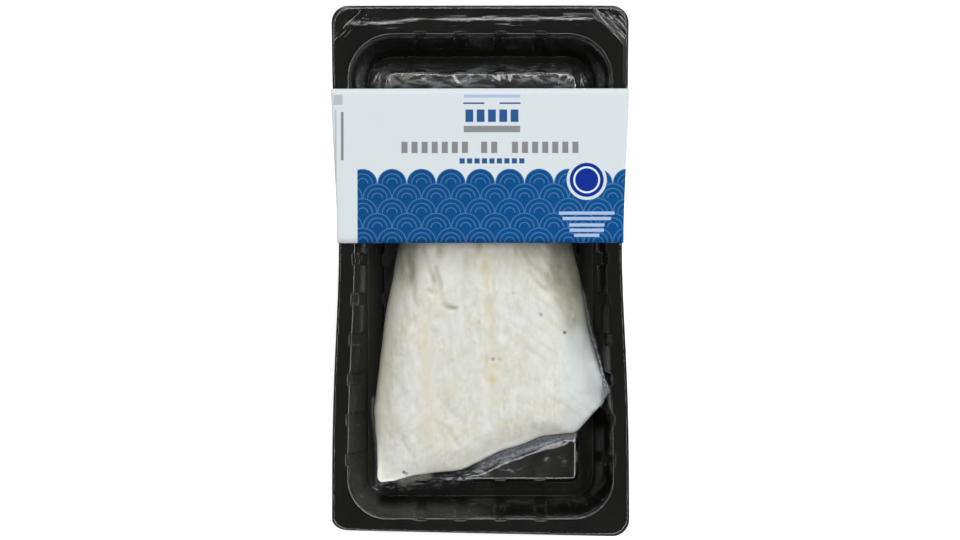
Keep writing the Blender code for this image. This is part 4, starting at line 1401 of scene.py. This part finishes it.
SLEEVE_TOP = TRAY_HEIGHT + 0.00105
SLEEVE_CROWN = 0.0012
SLEEVE_SHOULDER = 0.0022
SLEEVE_BASE_HALF = 0.0608
FOLD_RADIUS = 0.0008
FOLD_STEPS = 6
SLEEVE_SECTIONS = 25
CROWN_STEPS = 28

# The print, in millimetres: a field of scallops, a round badge, and plain bars for words.
GROUND = (0.543, 0.592, 0.618)
FIELD_LEFT_TONE = (0.003, 0.056, 0.185)
FIELD_RIGHT_TONE = (0.002, 0.062, 0.21)
SCALLOP_LINE = (0.11, 0.24, 0.44)
BADGE_DISC = (0.004, 0.024, 0.235)
BADGE_RING = (0.62, 0.7, 0.8)
PALE_INK = (0.33, 0.43, 0.6)
BLUE_INK = (0.02, 0.08, 0.225)
GREY_INK = (0.2, 0.205, 0.215)
GREY_BAR = (0.21, 0.22, 0.24)
PALE_GREY = (0.4, 0.42, 0.44)
SCALE_RADIUS = 7.3
SCALE_ROWS = 4
SCALE_LINES = (0.97, 0.66, 0.35)
SCALE_LINE_WIDTH = 0.55
FIELD_LEFT = -61.0
FIELD_BASE = 14.25
TOP_PANEL_Z = (32.7, 33.3)
FIELD_FOOT_Z = (1.5, 2.5)
BADGE_PLACE = (52.8, 45.2, 0.0)
BADGE_MARGIN_RADIUS = 9.95
BADGE_RADIUS = 8.45
BADGE_RING_RADIUS = 6.2
BADGE_RING_WIDTH = 0.9
BOARD_DARK = (0.66, 0.67, 0.66)
BOARD_LIGHT = (0.76, 0.77, 0.76)


def fold(before, corner, after):
    """Points round one fold of the board."""
    before, corner, after = (np.array(p) for p in (before, corner, after))
    leg_in = (before - corner) / np.hypot(*(before - corner)) * FOLD_RADIUS
    leg_out = (after - corner) / np.hypot(*(after - corner)) * FOLD_RADIUS
    steps = np.linspace(0, 1, FOLD_STEPS + 1)[:, None]
    return corner + leg_in * (1 - steps) ** 2 + leg_out * steps**2


def sleeve_section(y):
    """The board's inner face as a closed run in X and Z: crowned top, leaning sides, flat base."""
    half = PACK_WIDTH / 2 - float(pinch(np.array(y))) + GAP
    top = SLEEVE_TOP + lift(y)
    right_top, left_top = (half, top), (-half, top)
    right_lip, left_lip = (half, top - SLEEVE_SHOULDER), (-half, top - SLEEVE_SHOULDER)
    right_base, left_base = (SLEEVE_BASE_HALF, SLEEVE_BOARD), (-SLEEVE_BASE_HALF, SLEEVE_BOARD)
    across = np.linspace(-1, 1, CROWN_STEPS + 1)[1:-1]
    crown = top + SLEEVE_CROWN * (1 - across**2) ** 2
    return np.concatenate([
        fold(left_lip, left_top, right_top),
        np.column_stack([across * (half - FOLD_RADIUS), crown]),
        fold(left_top, right_top, right_lip),
        fold(right_top, right_lip, right_base),
        fold(right_lip, right_base, left_base),
        fold(right_base, left_base, left_lip),
        fold(left_base, left_lip, left_top),
    ])


def make_sleeve(printed, core):
    """The board tube, printed outside, with bare board inside and at its cut ends."""
    loops = []
    for y in np.linspace(SLEEVE_LOW, SLEEVE_HIGH, SLEEVE_SECTIONS):
        section = sleeve_section(float(y))
        loops.append(np.column_stack([section[:, 0], np.full(len(section), y), section[:, 1]]))
    loops = np.array(loops)
    faces = loops_to_faces(len(loops), loops.shape[1])
    sleeve = make_piece("board_sleeve", loops, faces, printed, "sleeve", 60)
    face_up(sleeve, SLEEVE_TOP)
    sleeve.data.materials.append(core)
    board = thicken(sleeve, "board", SLEEVE_BOARD, 1)
    board.material_offset = 1
    board.material_offset_rim = 1


def bar_rows():
    """Plain bars where the pack carries words, as (x, y, width, height, colour)."""
    bars = [(5.8, 86.7, 28.0, 1.5, PALE_INK), (5.8, 70.4, 28.0, 3.2, GREY_BAR)]
    bars += [(x, 83.2, 10.4, 0.8, BLUE_INK) for x in (-3.2, 14.8)]
    bars += [(5.8 + 5.6 * (index - 2), 77.0, 3.9, 6.2, BLUE_INK) for index in range(5)]
    for first, count in ((-37.6, 7), (1.9, 2), (17.2, 7)):
        bars += [(first + 5.0 * index, 61.3, 3.0, 5.6, GREY_INK) for index in range(count)]
    bars += [(-9.0 + 3.7 * index, 54.6, 2.6, 2.6, BLUE_INK) for index in range(9)]
    for y, width in ((28.7, 27.5), (26.0, 24.0), (22.8, 17.5), (20.2, 17.0), (17.7, 12.5)):
        bars.append((52.8, y, width, 1.6, PALE_INK))
    bars += [(-70.6, 85.0, 4.6, 5.0, PALE_GREY), (-68.5, 67.0, 1.3, 24.0, GREY_INK)]
    bars.append((-71.8, 62.0, 0.9, 36.0, PALE_GREY))
    return bars


def printed_board():
    graph = Graph(bpy.data.materials.new("printed_board"))
    place = graph.place()
    scaled = graph.node("VectorMath", {0: place, "Scale": 1000.0}, operation="SCALE")
    x, y, z = graph.node("SeparateXYZ", {"Vector": scaled.outputs[0]}).outputs
    on_top = graph.ramp(z, *TOP_PANEL_Z)

    def inside(value, centre, size):
        """1 within half the size of the centre, with a soft edge."""
        away = graph.math("ABSOLUTE", graph.math("SUBTRACT", value, centre))
        return graph.ramp(away, size / 2 - 0.12, size / 2 + 0.12, 1.0, 0.0)

    def disc(away, radius):
        """1 within a radius, with a soft edge."""
        return graph.ramp(away, radius - 0.15, radius + 0.15, 1.0, 0.0)

    def inked(colour, mask, ink):
        """The colour with ink over it on the sleeve's top panel, where the mask is 1."""
        return graph.mix(graph.times(mask, on_top), colour, ink)

    # Rows of scallops, each row half a scallop across from the one below it.
    pitch = 2 * SCALE_RADIUS
    height = graph.math("SUBTRACT", y, FIELD_BASE)
    row = graph.math("FLOOR", graph.math("DIVIDE", height, SCALE_RADIUS))
    above = graph.math("SUBTRACT", height, graph.times(row, SCALE_RADIUS))
    shift = graph.times(graph.math("MODULO", row, 2.0), SCALE_RADIUS)
    turns = graph.math("DIVIDE", graph.math("ADD", x, shift), pitch)
    across = graph.times(graph.math("SUBTRACT", turns, graph.math("ROUND", turns)), pitch)
    squares = graph.math("ADD", graph.times(across, across), graph.times(above, above))
    reach = graph.math("SQRT", squares)
    lines = None
    for share in SCALE_LINES:
        line = inside(reach, SCALE_RADIUS * share, SCALE_LINE_WIDTH)
        lines = line if lines is None else graph.most(lines, line)

    # The field of scallops: full rows, a top row that ends in the scallops' own edges, and limits.
    scallop = graph.ramp(reach, SCALE_RADIUS - 0.15, SCALE_RADIUS + 0.1, 1.0, 0.0)
    top_row = graph.times(graph.math("LESS_THAN", row, SCALE_ROWS + 0.5), scallop)
    field = graph.most(graph.math("LESS_THAN", row, SCALE_ROWS - 0.5), top_row)
    field = graph.times(field, graph.ramp(x, FIELD_LEFT - 0.15, FIELD_LEFT + 0.15))
    field = graph.times(field, graph.ramp(z, *FIELD_FOOT_Z))
    wash = graph.noise(graph.stretched(place, 1, 1, 1), 14, 2)
    ground = graph.mix(wash, GROUND, tuple(v * 1.03 for v in GROUND))
    blue = graph.mix(graph.ramp(x, -60, 60), FIELD_LEFT_TONE, FIELD_RIGHT_TONE)
    blue = graph.mix(graph.times(lines, 0.42), blue, SCALLOP_LINE)
    colour = graph.mix(field, ground, blue)

    away = graph.distance(graph.node("CombineXYZ", {"X": x, "Y": y}).outputs[0], BADGE_PLACE)
    colour = inked(colour, disc(away, BADGE_MARGIN_RADIUS), ground)
    colour = inked(colour, disc(away, BADGE_RADIUS), BADGE_DISC)
    colour = inked(colour, inside(away, BADGE_RING_RADIUS, BADGE_RING_WIDTH), BADGE_RING)
    for bar_x, bar_y, width, tall, ink in bar_rows():
        colour = inked(colour, graph.times(inside(x, bar_x, width), inside(y, bar_y, tall)), ink)
    fibre = graph.noise(graph.stretched(place, 1, 0.5, 1), 1500, 3, 0.6)
    return graph.finish(graph.node("BsdfPrincipled", {
        "Base Color": colour,
        "Roughness": graph.ramp(fibre, 0.3, 0.7, 0.46, 0.56),
        "IOR": 1.45,
        "Specular IOR Level": 0.03,
        "Normal": graph.bump(fibre, 0.12, 0.00005),
    }))


def board_core():
    graph = Graph(bpy.data.materials.new("board_core"))
    fibre = graph.noise(graph.place(), 1800, 3, 0.6)
    return graph.finish(graph.node("BsdfPrincipled", {
        "Base Color": graph.mix(fibre, BOARD_DARK, BOARD_LIGHT),
        "Roughness": 0.75,
        "Normal": graph.bump(fibre, 0.2, 0.00006),
    }))


# ------------------------- stage

# Light from the tent, by the upward share of its direction, as parts of the strength: a broad ring
# of lamps round the camera, a dark opening for it, and faint walls.
TENT_STRENGTH = 3.85
TENT_ENDS = ((0.0, 0.02), (1.0, 0.012))
TENT_BANDS = ((0.3, 0.02), (0.78, 0.03), (0.83, 1.0), (0.94, 1.0), (0.962, 0.012))
# The ring is brighter towards the right and the top, and a wide low panel stands beyond the top end.
RING_LEAN = (0.5, 0.3, 0.0)
PANEL_WAY = (0.35, 0.94, 0.0)
PANEL_EDGE = (0.35, 0.75)
PANEL_SHARE = 0.34
FLOOR_HALF = 2
FLOOR_COLOUR = (0.9, 0.9, 0.9)
FLOOR_GLOW = 0.45
WHITE = (1.0, 1.0, 1.0)

CAMERA_LENS = 100
CAMERA_SENSOR = 36
CAMERA_REACH = 10
CAMERA_PLACE = (-0.0002, 0.0005, 1.358)
CAMERA_ROLL = -0.001


def make_floor():
    """A pale table, lit a little from below so that the pack casts hardly any shadow on it."""
    graph = Graph(bpy.data.materials.new("pale_floor"))
    diffuse = graph.node("BsdfDiffuse", {"Color": FLOOR_COLOUR})
    glow = graph.node("Emission", {"Color": WHITE, "Strength": FLOOR_GLOW})
    material = graph.finish(graph.node("AddShader", {0: diffuse.outputs[0], 1: glow.outputs[0]}))
    data = bpy.data.meshes.new("floor")
    corners = [(x * FLOOR_HALF, y * FLOOR_HALF, 0) for x, y in ((-1, -1), (1, -1), (1, 1), (-1, 1))]
    data.from_pydata(corners, [], [(0, 1, 2, 3)])
    data.materials.append(material)
    floor = bpy.data.objects.new("floor", data)
    bpy.context.scene.collection.objects.link(floor)


def make_lights():
    """A tent of light all round: a ring of lamps overhead and a wide panel beyond the top end."""
    graph = Graph(bpy.data.worlds.new("studio"))
    way = graph.node("TexCoord").outputs["Generated"]
    upward = graph.node("SeparateXYZ", {"Vector": way}).outputs["Z"]
    ramp = graph.node("ValToRGB", {"Fac": upward})
    elements = ramp.color_ramp.elements
    for element, (place, value) in zip(elements, TENT_ENDS):
        element.position = place
        element.color = (value, value, value, 1.0)
    for place, value in TENT_BANDS:
        elements.new(place).color = (value, value, value, 1.0)

    def towards(direction):
        """How far the light's direction goes along the given one."""
        made = graph.node("VectorMath", {0: way, 1: direction}, operation="DOT_PRODUCT")
        return made.outputs["Value"]

    ring = graph.times(ramp.outputs[0], graph.math("ADD", towards(RING_LEAN), 1.0))
    panel = graph.node("MapRange", {
        "Value": towards(PANEL_WAY),
        "From Min": PANEL_EDGE[0],
        "From Max": PANEL_EDGE[1],
        "To Max": PANEL_SHARE,
    })
    strength = graph.times(graph.math("ADD", ring, panel.outputs[0]), TENT_STRENGTH)
    background = graph.node("Background", {"Color": WHITE, "Strength": strength})
    bpy.context.scene.world = graph.finish(background, "OutputWorld")


def make_camera():
    camera = bpy.data.cameras.new("camera")
    camera.lens = CAMERA_LENS
    camera.sensor_width = CAMERA_SENSOR
    camera.clip_end = CAMERA_REACH
    holder = bpy.data.objects.new("camera", camera)
    holder.location = CAMERA_PLACE
    holder.rotation_euler = (0, 0, CAMERA_ROLL)
    bpy.context.scene.collection.objects.link(holder)
    bpy.context.scene.camera = holder
    bpy.context.scene.view_settings.view_transform = "Standard"


make_camera()
make_lights()
make_floor()
make_tray(tray_material(), tray_surface())
make_fillet(fillet_material())
make_film(film_material(), tray_surface(False))
make_sleeve(printed_board(), board_core())
